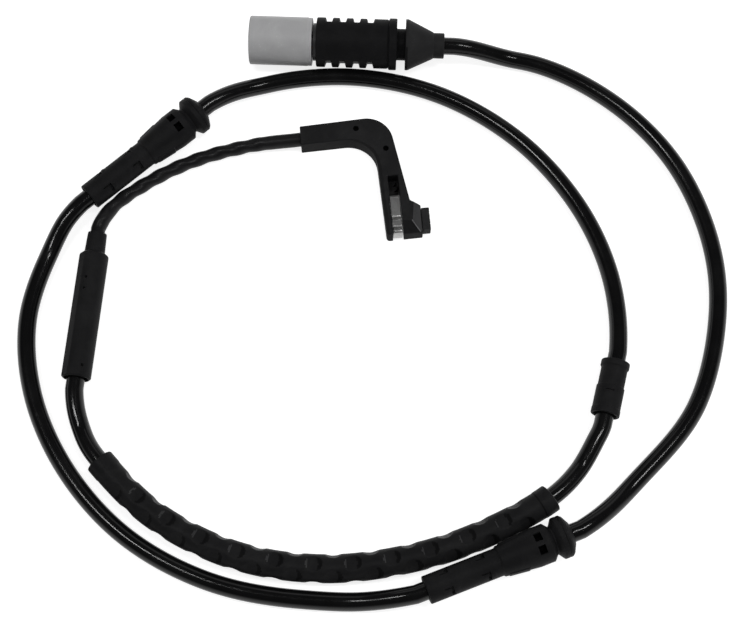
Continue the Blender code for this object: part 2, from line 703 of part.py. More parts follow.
def dimple_depth(station, angle):
    """How deep the sleeve's surface is sunk at a station and an angle round it."""
    deepest = 0.0
    pockets = int((SLEEVE_LENGTH - 2 * SLEEVE_COLLAR) / DIMPLE_PITCH)
    first = (SLEEVE_LENGTH - (pockets - 1) * DIMPLE_PITCH) / 2
    for row in range(DIMPLE_ROWS):
        middle = math.radians(DIMPLE_ROLL) + 2 * math.pi * row / DIMPLE_ROWS
        turn = (angle - middle + math.pi) % (2 * math.pi) - math.pi
        stagger = DIMPLE_PITCH / 2 if row % 2 else 0.0
        for number in range(pockets if row % 2 == 0 else pockets - 1):
            away = station - first - stagger - number * DIMPLE_PITCH
            share = math.hypot(away, turn * SLEEVE_RADIUS) / DIMPLE_RADIUS
            if share < 1.0:
                deepest = max(deepest, DIMPLE_DEPTH * (1.0 - share * share))
    return deepest


def protective_sleeve(route, seat, finish):
    """Dimpled sleeve, shaped straight and then bent along the cable."""
    mesh = bpy.data.meshes.new("protective_sleeve")
    work = bmesh.new()
    middle = Matrix.Translation((0.0, 0.0, SLEEVE_LENGTH / 2))
    bmesh.ops.create_cone(work, cap_ends=True, segments=SLEEVE_SIDES, radius1=SLEEVE_RADIUS,
                          radius2=SLEEVE_RADIUS, depth=SLEEVE_LENGTH, matrix=middle)
    step = DIMPLE_PITCH / RINGS_PER_PITCH
    rings = int((SLEEVE_LENGTH - SLEEVE_COLLAR) / 2 / step)
    for number in range(-rings, rings + 1):
        level = SLEEVE_LENGTH / 2 + number * step
        bmesh.ops.bisect_plane(work, geom=[*work.verts, *work.edges, *work.faces],
                               plane_co=(0.0, 0.0, level), plane_no=(0.0, 0.0, 1.0))
    for corner in work.verts:
        angle = math.atan2(corner.co.y, corner.co.x)
        share = 1.0 - dimple_depth(corner.co.z, angle) / SLEEVE_RADIUS
        corner.co.x *= share
        corner.co.y *= share
    work.to_mesh(mesh)
    work.free()
    first, last, height = seat
    run = distances(route)
    start = (run[first] + run[last] - SLEEVE_LENGTH) / 2
    bend_along(mesh, [Vector((p.x, p.y, height)) for p in route], start)
    sleeve = add_object("protective_sleeve", mesh, finish)
    margin = 2 * CABLE_STEP
    path = [p for p, here in zip(route, run) if start - margin < here < start + SLEEVE_LENGTH + margin]
    bore = tube("sleeve_bore_cutter", path, CABLE_RADIUS + FIT, roundness=3, cutter=True)
    cut(sleeve, as_mesh(bore))
    return sleeve


def cable_bush(finish):
    waist = BUSH_RADIUS - BUSH_WAIST
    bore = CABLE_RADIUS + CABLE_FIT
    middle = BUSH_LENGTH / 2
    outside = [
        (BUSH_RADIUS - EDGE, BUSH_LENGTH),
        (BUSH_RADIUS, BUSH_LENGTH - EDGE),
        (BUSH_RADIUS, BUSH_LENGTH - BUSH_LIP),
        (waist, BUSH_LENGTH - BUSH_LIP - EDGE),
        (waist, middle + EDGE),
        (BUSH_RADIUS, middle),
        (BUSH_RADIUS, BUSH_LIP),
        (BUSH_RADIUS, EDGE),
        (BUSH_RADIUS - EDGE, 0.0),
    ]
    place = lying(BUSH_LOW_END, BUSH_HEADING, BUSH_RADIUS)
    return turned("cable_bush", bored(outside, bore, BUSH_LENGTH, 0.0), place, finish, 16)


def surface_cutter(name, place, radius, station, angle, side, depth):
    """A block that sinks a square pocket into a round surface, angle degrees off its top."""
    spin = Matrix.Rotation(math.radians(angle), 4, "Z")
    height = depth + OVERCUT
    shift = Matrix.Translation((-(radius - depth + height / 2), 0.0, station))
    return block(name, (height, side, side), place @ spin @ shift, cutter=True)


def grommet(name, slim_end, heading, finish):
    bore = CABLE_RADIUS + CABLE_FIT
    flange_low = GROMMET_LENGTH - FLANGE_LENGTH
    groove_low = flange_low - GROOVE_WIDTH
    body_low = groove_low - GROMMET_BODY
    taper_low = body_low - GROMMET_TAPER
    groove = GROMMET_RADIUS - GROOVE_DEPTH
    floor_low = flange_low - (GROOVE_WIDTH + GROOVE_FLOOR) / 2
    outside = [
        (bore + FLANGE_LIP, GROMMET_LENGTH),
        (FLANGE_RADIUS - EDGE, GROMMET_LENGTH - FLANGE_CHAMFER),
        (FLANGE_RADIUS, GROMMET_LENGTH - FLANGE_CHAMFER - EDGE),
        (FLANGE_RADIUS, flange_low + EDGE),
        (FLANGE_RADIUS - EDGE, flange_low),
        (groove, floor_low + GROOVE_FLOOR),
        (groove, floor_low),
        (GROMMET_RADIUS, groove_low),
        (GROMMET_RADIUS, body_low),
        (GROMMET_SLIM + TAPER_STEP, taper_low),
        (GROMMET_SLIM, taper_low - EDGE),
        (GROMMET_SLIM, EDGE),
        (GROMMET_SLIM - EDGE, 0.0),
    ]
    place = lying(slim_end, heading, FLANGE_RADIUS)
    made = turned(name, bored(outside, bore, GROMMET_LENGTH, 0.0), place, finish, 16)
    middle = body_low + GROMMET_BODY / 2
    for side in (-1, 1):
        cut(made, surface_cutter(f"{name}_window_{side}", place, GROMMET_RADIUS, middle,
                                 side * WINDOW_ANGLE, WINDOW_SIDE, WINDOW_DEPTH))
        for number, station in enumerate(DENT_STATIONS):
            cut(made, surface_cutter(f"{name}_dent_{number}_{side}", place, GROMMET_SLIM, station,
                                     side * DENT_ANGLE, DENT_SIDE, DENT_DEPTH))
    return made


def connector_place():
    return lying(CONNECTOR_REAR, CONNECTOR_HEADING, CONNECTOR_HEIGHT)


def connector_boot(finish):
    """Rubber boot: collar, cone, neck for the bracket, and a body with side notches."""
    cone_low = COLLAR_LENGTH
    neck_low = cone_low + CONE_LENGTH
    body_low = neck_low + NECK_LENGTH
    collar = CABLE_RADIUS + CABLE_FIT + COLLAR_WALL
    bore = CABLE_RADIUS + CABLE_FIT
    socket = CAP_RADIUS + FIT
    socket_low = BOOT_LENGTH - (CAP_LENGTH - CAP_SHOW) - FIT
    cavity_low = BOOT_CABLE_SEAT - BOOT_CAVITY_LAP
    cavity = bore + BOOT_CAVITY_STEP
    profile = [
        (BOOT_RADIUS - EDGE, BOOT_LENGTH),
        (BOOT_RADIUS, BOOT_LENGTH - EDGE),
        (BOOT_RADIUS, body_low + BOOT_FLANGE),
        (BOOT_RADIUS - BOOT_LINE, body_low + BOOT_FLANGE - EDGE),
        (BOOT_FLANGE_RADIUS, body_low + BOOT_FLANGE - 2 * EDGE),
        (BOOT_FLANGE_RADIUS, body_low + EDGE),
        (BOOT_FLANGE_RADIUS - EDGE, body_low),
        (NECK_RADIUS, body_low),
        (NECK_RADIUS, neck_low),
        (CONE_RADIUS, neck_low),
        (CONE_RADIUS, neck_low - CONE_RIM),
        (collar + CONE_LIP, cone_low),
        (collar, cone_low - EDGE),
        (collar, 0.0),
        (bore, 0.0),
        (bore, cavity_low),
        (cavity, cavity_low),
        (cavity, socket_low),
        (socket, socket_low),
        (socket, BOOT_LENGTH),
    ]
    place = connector_place()
    boot = turned("connector_boot", profile, place, finish, 20)
    depth = NOTCH_DEPTH + OVERCUT
    rolled = place @ Matrix.Rotation(math.radians(NOTCH_ROLL), 4, "Z")
    for side in (-1, 1):
        for number in range(NOTCH_COUNT):
            station = BOOT_LENGTH - NOTCH_FIRST - number * NOTCH_PITCH
            offset = side * (BOOT_RADIUS - NOTCH_DEPTH + depth / 2)
            spot = rolled @ Matrix.Translation((0.0, offset, station))
            size = (4 * BOOT_RADIUS, depth, NOTCH_WIDTH)
            cut(boot, block(f"boot_notch_{number}_{side}", size, spot, cutter=True))
    return boot


def rear_cap(finish):
    high = BOOT_LENGTH + CAP_SHOW
    outside = [(CAP_RADIUS, high), (CAP_RADIUS, high - CAP_LENGTH)]
    bore = CONTACT_OFFSET + CORE_RADIUS + FIT
    return turned("rear_cap", bored(outside, bore, high, high - CAP_LENGTH), connector_place(), finish, 20)


def shell_rear():
    """Station of the shell's rear face, clear of the rear cap."""
    return BOOT_LENGTH + CAP_SHOW + FIT


def seal_radius():
    return CONTACT_OFFSET + CORE_RADIUS + FIT + SEAL_WALL


def connector_shell(finish):
    rear = shell_rear()
    front = rear + SHELL_LENGTH
    bore = SHELL_RADIUS - SHELL_WALL
    floor = rear + SHELL_REAR_WALL
    opening = seal_radius() + FIT
    profile = [
        (bore, front - SHELL_ROUNDING / 2),
        (bore + SHELL_ROUNDING / 2, front),
        (SHELL_RADIUS - SHELL_ROUNDING, front),
        (SHELL_RADIUS, front - SHELL_ROUNDING),
        (SHELL_RADIUS, rear + SHELL_REAR_EDGE),
        (SHELL_RADIUS - SHELL_REAR_EDGE, rear),
        (opening, rear),
        (opening, floor),
        (bore, floor),
    ]
    return turned("connector_shell", profile, connector_place(), finish, 24)


def two_holes(target, name, radius, low, high):
    for number, side in enumerate((1.0, -1.0)):
        spot = connector_place() @ Matrix.Translation((0.0, side * CONTACT_OFFSET, 0.0))
        top = high + OVERCUT
        end = low - OVERCUT
        profile = [(0.0, top), (radius, top), (radius, end), (0.0, end)]
        cut(target, turned(f"{name}_{number}", profile, spot, sides=12, cutter=True))


def seal_block(finish):
    low = shell_rear() + FIT
    high = shell_rear() + SHELL_REAR_WALL - FIT
    radius = seal_radius()
    profile = [(0.0, high), (radius, high), (radius, low), (0.0, low)]
    seal = turned("seal_block", profile, connector_place(), finish, 16)
    two_holes(seal, "seal_hole", CORE_RADIUS + FIT, low, high)
    return seal


def carrier_low():
    return shell_rear() + SHELL_REAR_WALL + FIT


def contact_carrier(finish):
    low = carrier_low()
    high = shell_rear() + SHELL_LENGTH - CARRIER_RECESS
    radius = SHELL_RADIUS - SHELL_WALL - FIT
    profile = [(0.0, high), (radius - EDGE, high), (radius, high - EDGE), (radius, low), (0.0, low)]
    carrier = turned("contact_carrier", profile, connector_place(), finish, 20)
    two_holes(carrier, "contact_hole", CONTACT_RADIUS + FIT, low, high)
    return carrier


def connector_contacts(contact_finish, finishes):
    low = carrier_low() + CONTACT_SETBACK
    high = low + CONTACT_LENGTH
    core_low = BOOT_CABLE_SEAT + FIT
    near = CORE_RADIUS + FIT
    for number, side in ((1, 1.0), (2, -1.0)):
        spot = connector_place() @ Matrix.Translation((0.0, side * CONTACT_OFFSET, 0.0))
        outside = [(CONTACT_RADIUS, high), (CONTACT_RADIUS, low)]
        turned(f"contact_{number}", bored(outside, CONTACT_BORE, high, low), spot, contact_finish, 12)
        spread = core_low + CORE_STRAIGHT
        path = [(0.0, side * near, core_low), (0.0, side * near, spread),
                (0.0, side * CONTACT_OFFSET, spread + BOOT_CORE_SPREAD),
                (0.0, side * CONTACT_OFFSET, low - FIT)]
        points = [connector_place() @ Vector(point) for point in path]
        tube(f"connector_core_{number}", points, CORE_RADIUS, finishes[number - 1], 1)


def smooth_round_pieces(names):
    for name in names:
        mesh = bpy.data.objects[name].data
        mesh.shade_smooth()
        mesh.set_sharp_from_angle(angle=math.radians(35))


def build():
    black_plastic = plastic("black_plastic", (0.018, 0.018, 0.019), 0.5)
    black_rubber = plastic("black_rubber", (0.012, 0.012, 0.013), 0.7)
    cable_jacket = plastic("cable_jacket", (0.01, 0.01, 0.011), 0.28)
    grey_plastic = plastic("grey_plastic", (0.33, 0.33, 0.34), 0.5)
    dark_grey_plastic = plastic("dark_grey_plastic", (0.07, 0.07, 0.075), 0.5)
    spring_steel = plastic("spring_steel", (0.62, 0.61, 0.6), 0.3, 1.0)
    tinned_brass = plastic("tinned_brass", (0.6, 0.52, 0.34), 0.35, 1.0)
    core_light = plastic("core_light", (0.35, 0.2, 0.12), 0.5)
    core_dark = plastic("core_dark", (0.05, 0.05, 0.055), 0.5)

    sensor_body(black_plastic)
    wear_tip(black_plastic)
    wear_wire(tinned_brass)
    spring_clip(spring_steel)

    lead, _ = lead_route()
    tube("lead", lead, LEAD_RADIUS, black_rubber, 2)
    cable, seats = cable_route()
    tube("main_cable", cable, CABLE_RADIUS, cable_jacket, 3)

    splice_sleeve(black_rubber)
    splice_wires(tinned_brass, (core_light, core_dark))
    protective_sleeve(cable, seats["sleeve"], black_rubber)
    cable_bush(black_rubber)
    grommet("grommet_1", GROMMET_1_SLIM_END, GROMMET_1_HEADING, black_rubber)
    grommet("grommet_2", GROMMET_2_SLIM_END, GROMMET_2_HEADING, black_rubber)

    connector_boot(black_rubber)
    rear_cap(dark_grey_plastic)
    connector_shell(grey_plastic)
    seal_block(black_rubber)
    contact_carrier(dark_grey_plastic)
    connector_contacts(tinned_brass, (core_light, core_dark))
    smooth_round_pieces(("splice_sleeve", "cable_bush", "grommet_1", "grommet_2", "connector_boot",
                         "rear_cap", "connector_shell", "seal_block", "contact_carrier"))


clear_scene()
PARTS = make_collection("brake_pad_wear_sensor")
CUTTERS = make_collection("cutters")
build()
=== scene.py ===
"""Looks of a brake pad wear sensor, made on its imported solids."""

import math

import bmesh
import bpy
from mathutils import Matrix, Vector


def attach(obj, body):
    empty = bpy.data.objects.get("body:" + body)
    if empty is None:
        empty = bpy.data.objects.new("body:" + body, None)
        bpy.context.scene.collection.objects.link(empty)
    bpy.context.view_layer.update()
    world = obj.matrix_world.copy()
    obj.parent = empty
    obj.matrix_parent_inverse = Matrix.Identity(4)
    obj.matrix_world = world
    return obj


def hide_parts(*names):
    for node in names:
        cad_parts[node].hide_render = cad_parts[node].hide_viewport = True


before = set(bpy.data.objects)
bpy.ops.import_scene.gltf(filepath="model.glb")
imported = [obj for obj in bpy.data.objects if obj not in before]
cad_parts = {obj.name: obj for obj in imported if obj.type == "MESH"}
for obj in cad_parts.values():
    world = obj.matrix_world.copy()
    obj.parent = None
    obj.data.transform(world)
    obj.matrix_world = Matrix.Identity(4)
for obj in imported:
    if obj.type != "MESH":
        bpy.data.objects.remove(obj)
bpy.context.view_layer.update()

MM = 0.001
UP = Vector((0.0, 0.0, 1.0))

# Camera: a little off straight down, seen from the lower side
VIEW_TARGET = Vector((2.18, -41.19, 0.0)) * MM
VIEW_TILT = math.radians(17.8745)
VIEW_DISTANCE = 435.0 * MM
VIEW_LENS = 72.58

# Cords and their routes in plan, in mm, as in the part's source
CABLE_RADIUS = 2.6
LEAD_RADIUS = 2.1
SPLICE_MOUTH = (-81.7, -61.5)
SPLICE_HEADING = 85.2
SPLICE_LENGTH = 38.0
SPLICE_RADIUS = 4.2
NOSE_LENGTH = 6.0
SLEEVE_RADIUS = 4.05
SLEEVE_LENGTH = 138.4
BUSH_LOW_END = (67.6, -72.1)
BUSH_HEADING = 75.9
BUSH_LENGTH = 16.0
BUSH_RADIUS = 4.1
GROMMET_LENGTH = 42.6
GROMMET_SLIM = 3.95
GROMMET_RADIUS = 5.45
FLANGE_RADIUS = 5.9
GROMMET_1_SLIM_END = (-80.7, -6.8)
GROMMET_1_HEADING = 41.4
GROMMET_2_SLIM_END = (16.8, -121.2)
GROMMET_2_HEADING = 21.2
CONNECTOR_REAR = (23.95, 41.7)
CONNECTOR_HEADING = 178.0
CONNECTOR_HEIGHT = 7.7
BOOT_CABLE_SEAT = 28.5
LEAD_SEAT = (-19.15, 12.95)
ARM_HEADING = 7.5
HEAD_THICKNESS = 6.1
FREE_TO_SLEEVE = ((-80.9, -71.5), (-77.8, -79.5))
SLEEVE_PATH = ((-73.6, -85.3), (-57.9, -100.3), (-35.4, -111.4), (-10.6, -115.1), (13.9, -112.0),
               (33.4, -105.4), (51.5, -95.6))
FREE_TO_BUSH = ((59.4, -88.0), (64.9, -79.0))
FREE_TO_GROMMET_1 = ((71.8, -32.0), (63.5, -9.2), (46.6, 12.4), (22.7, 27.8), (-4.4, 33.9), (-30.7, 31.0))
FREE_TO_GROMMET_2 = ((-89.9, -18.6), (-96.8, -42.1), (-94.1, -65.1), (-83.4, -87.2), (-66.0, -105.8),
                     (-42.8, -118.2), (-17.0, -123.2))
FREE_TO_CONNECTOR = ((77.1, -89.2), (93.8, -69.2), (101.8, -41.8), (101.1, -18.8), (92.2, 5.4),
                     (76.0, 24.4), (53.5, 37.6))
FREE_LEAD = ((-34.5, 11.2), (-49.0, 7.2), (-62.2, 0.8), (-72.7, -7.3))
GUARD = 3.0
LEAD_GUARD = 1.5
RAMP = 20.0
CABLE_BORE = 3.1                   # of the pieces that sit on the cable
CABLE_STEP = 1.2
LEAD_STEP = 0.4

# Lead: two twisted cores press through a tight sheath
LUMP_PITCH = 6.15
LUMP_DEPTH = 0.24
LEAD_SMOOTH = 16.0                 # plain stretch next to the head

# Dimples of the sleeve
DIMPLE_PITCH = 10.75
DIMPLE_ROWS = 6
DIMPLE_ROLL = 47.0                 # of the first row, off the top to the right
DIMPLE_TWIST = 12.0                # how far the rows turn on their way to the bush
DIMPLE_RADIUS = 2.4
DIMPLE_DEPTH = 0.6
SLEEVE_COLLAR = 4.0

# Connector, along its axis from the cable's exit
BOOT_LENGTH = 38.5
BOOT_RADIUS = 7.4
BOOT_FLANGE_RADIUS = 7.7
NECK_RADIUS = 4.7
CONE_RADIUS = 7.6
CONE_END = 11.7
NECK_END = 14.3
BOOT_FLANGE = 2.4
NOTCH_FIRST = 3.75
NOTCH_PITCH = 4.15
NOTCH_DEPTH = 1.6
NOTCH_ROLL = -23.0
CAP_RADIUS = 5.6
SHELL_REAR = 39.8
SHELL_LENGTH = 18.8
SHELL_RADIUS = 7.25
CARRIER_REAR = 42.7
CARRIER_FRONT = 52.1
CARRIER_RADIUS = 5.6
CONTACT_OFFSET = 1.9
CONTACT_RADIUS = 1.15

# Sensor head, corners of its plan with their rounding
HEAD_CORNERS = (
    (-18.9, 9.9, 0.0),
    (2.8, 12.5, 8.8),
    (6.55, -18.5, 1.0),
    (17.1, -17.3, 0.0),
    (16.4, -8.9, 0.0),
    (13.3, -7.7, 0.8),
    (6.6, 19.45, 8.0),
    (-19.4, 15.9, 0.0),
)
INNER_CHAMFER = 0.9
SLOT_TOP = (8.25, 0.1)
SLOT_HEADING = -84.6
SLOT_WIDTH = 3.1
POCKET_LENGTH = 4.0
POCKET_DEPTH = 4.5
PIN_MARKS = ((-2.6, 15.2), (6.3, 8.8))
OUTER_RIDGE = (14.1, -9.6)
OUTER_RIDGE_HEADING = -93.0
OUTER_SLOPE = 24.0
LOW_RIDGE = (14.0, -14.0)
LOW_RIDGE_HEADING = 0.0
LOW_SLOPE = 20.0
LOW_RIDGE_START = 4.6
TIP_START = (16.47, -9.75)
TIP_HEADING = -85.3
TIP_LENGTH = 6.85
TIP_STAND = 2.1
TIP_HEIGHT = 4.0
FIT = 0.3
CLIP_THICKNESS = 0.4
CLIP_PROFILE = ((2.2, 3.9), (5.0, 3.5), (5.9, 1.4), (6.9, 0.8), (12.9, 0.8), (13.4, 1.6), (13.9, 0.8),
                (16.0, 0.8), (16.5, 1.6), (17.0, 0.9), (17.6, 1.1), (18.1, 2.2), (18.1, 4.1))

# Light
AMBIENT = 0.44
OVERHEAD = 0.06                    # what a mirror sees of the dim ceiling
FLOOR_GLOW = 0.78


def new_object(name, data):
    made = bpy.data.objects.new(name, data)
    bpy.context.scene.collection.objects.link(made)
    return made


def make_camera():
    data = bpy.data.cameras.new("camera")
    data.sensor_width = 36.0
    data.lens = VIEW_LENS
    data.clip_start = 10 * MM
    camera = new_object("camera", data)
    back = Vector((0.0, -math.sin(VIEW_TILT), math.cos(VIEW_TILT)))
    camera.location = VIEW_TARGET + back * VIEW_DISTANCE
    camera.rotation_euler = (VIEW_TILT, 0.0, 0.0)
    bpy.context.scene.camera = camera


# Routes, as in the part's source but in finer steps, all in mm


def spline_point(corners, times, t):
    """A point on the span between the middle two of four corners."""
    def mix(first, second, start, end):
        return first.lerp(second, (t - times[start]) / (times[end] - times[start]))

    a, b, c = (mix(corners[i], corners[i + 1], i, i + 1) for i in range(3))
    return mix(mix(a, b, 0, 2), mix(b, c, 1, 3), 1, 2)


def plan_route(controls, straight, step):
    ends = [2 * controls[0] - controls[1], *controls, 2 * controls[-1] - controls[-2]]
    route = [controls[0]]
    for i in range(len(controls) - 1):
        corners = ends[i:i + 4]
        times = [0.0]
        for first, second in zip(corners, corners[1:]):
            times.append(times[-1] + math.sqrt((second - first).length))
        span = corners[2] - corners[1]
        count = max(1, round(span.length / step))
        for k in range(1, count + 1):
            if i in straight:
                route.append(corners[1] + span * (k / count))
            else:
                route.append(spline_point(corners, times, times[1] + (times[2] - times[1]) * k / count))
    return route


def distances(route):
    run = [0.0]
    for first, second in zip(route, route[1:]):
        run.append(run[-1] + (second - first).length)
    return run


def along(start, heading, distance):
    angle = math.radians(heading)
    return Vector((start[0] + distance * math.cos(angle), start[1] + distance * math.sin(angle)))


def trace(stretches, step, floor):
    """A cord's points and each seat's first and last index in them.

    A stretch is a list of free points, or a seat as (name, points, is it straight, height).
    """
    controls = []
    straight = []
    marks = {}
    for stretch in stretches:
        if isinstance(stretch[0], str):
            name, points, is_straight, height = stretch
            first = len(controls)
            controls += [Vector(point) for point in points]
            marks[name] = (first, len(controls) - 1, height)
            if is_straight:
                straight += range(first, len(controls) - 1)
        else:
            controls += [Vector(point) for point in stretch]
    plan = plan_route(controls, straight, step)
    index = [min(range(len(plan)), key=lambda i: (plan[i] - control).length) for control in controls]
    seats = {name: (index[a], index[b], top) for name, (a, b, top) in marks.items()}
    run = distances(plan)
    route = []
    for point, here in zip(plan, run):
        height = floor
        for first, last, top in seats.values():
            away = max(run[first] - here, here - run[last], 0.0) / RAMP
            share = 0.0 if away >= 1.0 else 0.5 + 0.5 * math.cos(math.pi * away)
            height = max(height, floor + (top - floor) * share)
        route.append(Vector((point.x, point.y, height)))
    return route, seats


def seat(name, start, heading, stations, height):
    return name, [along(start, heading, distance) for distance in stations], True, height


def cable_route():
    return trace([
        seat("splice", SPLICE_MOUTH, SPLICE_HEADING, (9.0, 0.0, -GUARD), SPLICE_RADIUS),
        FREE_TO_SLEEVE,
        ("sleeve", SLEEVE_PATH, False, SLEEVE_RADIUS),
        FREE_TO_BUSH,
        seat("bush", BUSH_LOW_END, BUSH_HEADING, (-GUARD, BUSH_LENGTH + GUARD), BUSH_RADIUS),
        FREE_TO_GROMMET_1,
        seat("grommet_1", GROMMET_1_SLIM_END, GROMMET_1_HEADING, (GROMMET_LENGTH + GUARD, -GUARD),
             FLANGE_RADIUS),
        FREE_TO_GROMMET_2,
        seat("grommet_2", GROMMET_2_SLIM_END, GROMMET_2_HEADING, (-GUARD, GROMMET_LENGTH + GUARD),
             FLANGE_RADIUS),
        FREE_TO_CONNECTOR,
        seat("connector", CONNECTOR_REAR, CONNECTOR_HEADING, (-GUARD, BOOT_CABLE_SEAT), CONNECTOR_HEIGHT),
    ], CABLE_STEP, CABLE_RADIUS)


def lead_route():
    top = SPLICE_LENGTH + NOSE_LENGTH
    return trace([
        seat("head", LEAD_SEAT, ARM_HEADING, (7.7, -LEAD_GUARD), HEAD_THICKNESS / 2),
        FREE_LEAD,
        seat("splice", SPLICE_MOUTH, SPLICE_HEADING, (top + LEAD_GUARD, SPLICE_LENGTH - 8.0), SPLICE_RADIUS),
    ], LEAD_STEP, LEAD_RADIUS)


def tangent(route, i):
    return (route[min(i + 1, len(route) - 1)] - route[max(i - 1, 0)]).normalized()


# Pieces and meshes


def new_mesh(name, corners, faces):
    """A mesh from corners in mm, with its faces turned outward."""
    mesh = bpy.data.meshes.new(name)
    mesh.from_pydata([Vector(corner) * MM for corner in corners], [], faces)
    work = bmesh.new()
    work.from_mesh(mesh)
    bmesh.ops.remove_doubles(work, verts=work.verts, dist=0.002 * MM)
    bmesh.ops.recalc_face_normals(work, faces=work.faces)
    work.to_mesh(mesh)
    work.free()
    return mesh


def basic_mesh(name, create, **settings):
    """A mesh with one of the ready-made solids."""
    mesh = bpy.data.meshes.new(name)
    work = bmesh.new()
    create(work, **settings)
    work.to_mesh(mesh)
    work.free()
    return mesh


def add_piece(name, corners, faces, node, sharp=40.0, place=None, even=True):
    """A smooth-shaded piece from corners in mm that stands for a node."""
    return settle(new_object(name, new_mesh(name, corners, faces)), node, sharp, place, even)


def settle(piece, node, sharp=40.0, place=None, even=True):
    if place is not None:
        piece.data.transform(place)
    piece.data.shade_smooth()
    piece.data.set_sharp_from_angle(angle=math.radians(sharp))
    if even:
        weigh = piece.modifiers.new("Even normals", "WEIGHTED_NORMAL")
        weigh.keep_sharp = True
        weigh.weight = 60
    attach(piece, "root")
    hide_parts(node)
    PIECES[node] = piece
    return piece


def grid_faces(rows, columns, closed_rows, closed_columns):
    faces = []
    for i in range(rows if closed_rows else rows - 1):
        for k in range(columns if closed_columns else columns - 1):
            j = (i + 1) % rows
            m = (k + 1) % columns
            faces.append((i * columns + k, i * columns + m, j * columns + m, j * columns + k))
    return faces


def pipe(name, route, sides, radius_at, node):
    """A closed tube along a route; radius_at gives its radius at a run and an angle off its top."""
    corners = []
    for i, (centre, here) in enumerate(zip(route, distances(route))):
        ahead = tangent(route, i)
        side = ahead.cross(UP).normalized()
        above = side.cross(ahead)
        for k in range(sides):
            angle = 2 * math.pi * k / sides
            radius = radius_at(here, angle)
            corners.append(centre + above * (radius * math.cos(angle)) + side * (radius * math.sin(angle)))
    faces = grid_faces(len(route), sides, False, True)
    faces.append(tuple(range(sides)))
    faces.append(tuple(range(len(corners) - sides, len(corners))))
    return add_piece(name, corners, faces, node, even=False)


def lying(start, heading, height):
    """Place whose local +Z runs level along the heading; its local -X is up."""
    spot = Matrix.Translation(Vector((start[0], start[1], height)) * MM)
    return spot @ Matrix.Rotation(math.radians(heading), 4, "Z") @ Matrix.Rotation(math.pi / 2, 4, "Y")


def bend(start, corner, end, steps):
    """Points of a smooth bend from start to end, drawn towards the corner between them."""
    shares = [k / steps for k in range(steps + 1)]
    return [start.lerp(corner, share).lerp(corner.lerp(end, share), share) for share in shares]


def signed(angle):
    """The same angle, between half a turn back and half a turn ahead."""
    return (angle + math.pi) % (2 * math.pi) - math.pi


def rounded_loop(outside, inside, rounding):
    """A closed profile with rounded corners, as (radius, station, is it outside).

    A corner is (radius, station) or (radius, station, own rounding).
    """
    corners = [(corner, True) for corner in outside] + [(corner, False) for corner in inside]
    loop = []
    for i, (corner, outer) in enumerate(corners):
        spot = Vector(corner[:2])
        back = Vector(corners[i - 1][0][:2]) - spot
        ahead = Vector(corners[(i + 1) % len(corners)][0][:2]) - spot
        turn = math.pi - back.angle(ahead)
        own = corner[2] if len(corner) > 2 else rounding
        reach = min(own * math.tan(min(turn, 3.0) / 2), 0.46 * back.length, 0.46 * ahead.length)
        if reach < 0.01:
            loop.append((spot.x, spot.y, outer))
            continue
        start = spot + back.normalized() * reach
        end = spot + ahead.normalized() * reach
        loop += [(point.x, point.y, outer) for point in bend(start, spot, end, 4)]
    return loop


def split_loop(loop, stations, outside=True):
    """The loop with more points where its outside, or its bore, crosses the given stations."""
    fine = []
    for i, (radius, station, outer) in enumerate(loop):
        fine.append((radius, station, outer))
        next_radius, next_station, next_outer = loop[(i + 1) % len(loop)]
        if outer != outside or next_outer != outside:
            continue
        low, high = sorted((station, next_station))
        between = [s for s in stations if low + 0.02 < s < high - 0.02]
        for s in sorted(between, reverse=next_station < station):
            share = (s - station) / (next_station - station)
            fine.append((radius + (next_radius - radius) * share, s, outside))
    return fine


def skin(loop, angles, carve=None):
    """Corners and faces of a loop turned about local Z; carve gives a new radius outside."""
    corners = []
    for angle in angles:
        for radius, station, outer in loop:
            if carve is not None and outer:
                radius = carve(radius, station, angle)
            corners.append((radius * math.cos(angle), radius * math.sin(angle), station))
    return corners, grid_faces(len(angles), len(loop), True, True)


def even_angles(sides, more=()):
    """Angles round a piece; near each one of more, the plain ones make way."""
    step = 2 * math.pi / sides
    extra = sorted(angle % (2 * math.pi) for angle in more)
    plain = [k * step for k in range(sides)]
    kept = [a for a in plain if all(abs(signed(a - b)) > step / 3 for b in extra)]
    return sorted(kept + extra)


def ramp(value, low, high, wall):
    """1 between low and high, falling to 0 over a wall at both ends."""
    return max(0.0, min(1.0, (value - low) / wall, (high - value) / wall))


def smooth(share):
    share = max(0.0, min(1.0, share))
    return share * share * (3 - 2 * share)


def off_top(angle):
    """The angle off the top of a lying piece, positive to the right of its heading."""
    return angle % (2 * math.pi) - math.pi


class Pockets:
    """Pockets sunk into a lying round piece: station, angle off the top, along, across, depth, wall."""

    def __init__(self, pockets, radius):
        self.pockets = pockets
        self.radius = radius

    def stations(self):
        lines = []
        for station, _, length, _, _, wall in self.pockets:
            lines += [station - length / 2, station - length / 2 + wall,
                      station + length / 2 - wall, station + length / 2]
        return lines

    def angles(self):
        lines = []
        for _, angle, _, width, _, wall in self.pockets:
            for across in (-width / 2, -width / 2 + wall, width / 2 - wall, width / 2):
                lines.append(math.pi + math.radians(angle) + across / self.radius)
        return lines

    def depth(self, station, angle):
        deepest = 0.0
        for middle, aside, length, width, depth, wall in self.pockets:
            across = signed(off_top(angle) - math.radians(aside))
            share = ramp(station, middle - length / 2, middle + length / 2, wall)
            share *= ramp(across * self.radius, -width / 2, width / 2, wall)
            if abs(share * depth) > abs(deepest):
                deepest = share * depth
        return deepest

    def carve(self, radius, station, angle):
        return radius - self.depth(station, angle)


def turned(name, loop, angles, carve, node, sharp, place):
    """A round piece, its loop turned about local Z of its place."""
    corners, faces = skin(loop, angles, carve)
    return add_piece(name, corners, faces, node, sharp, place)


# Cords


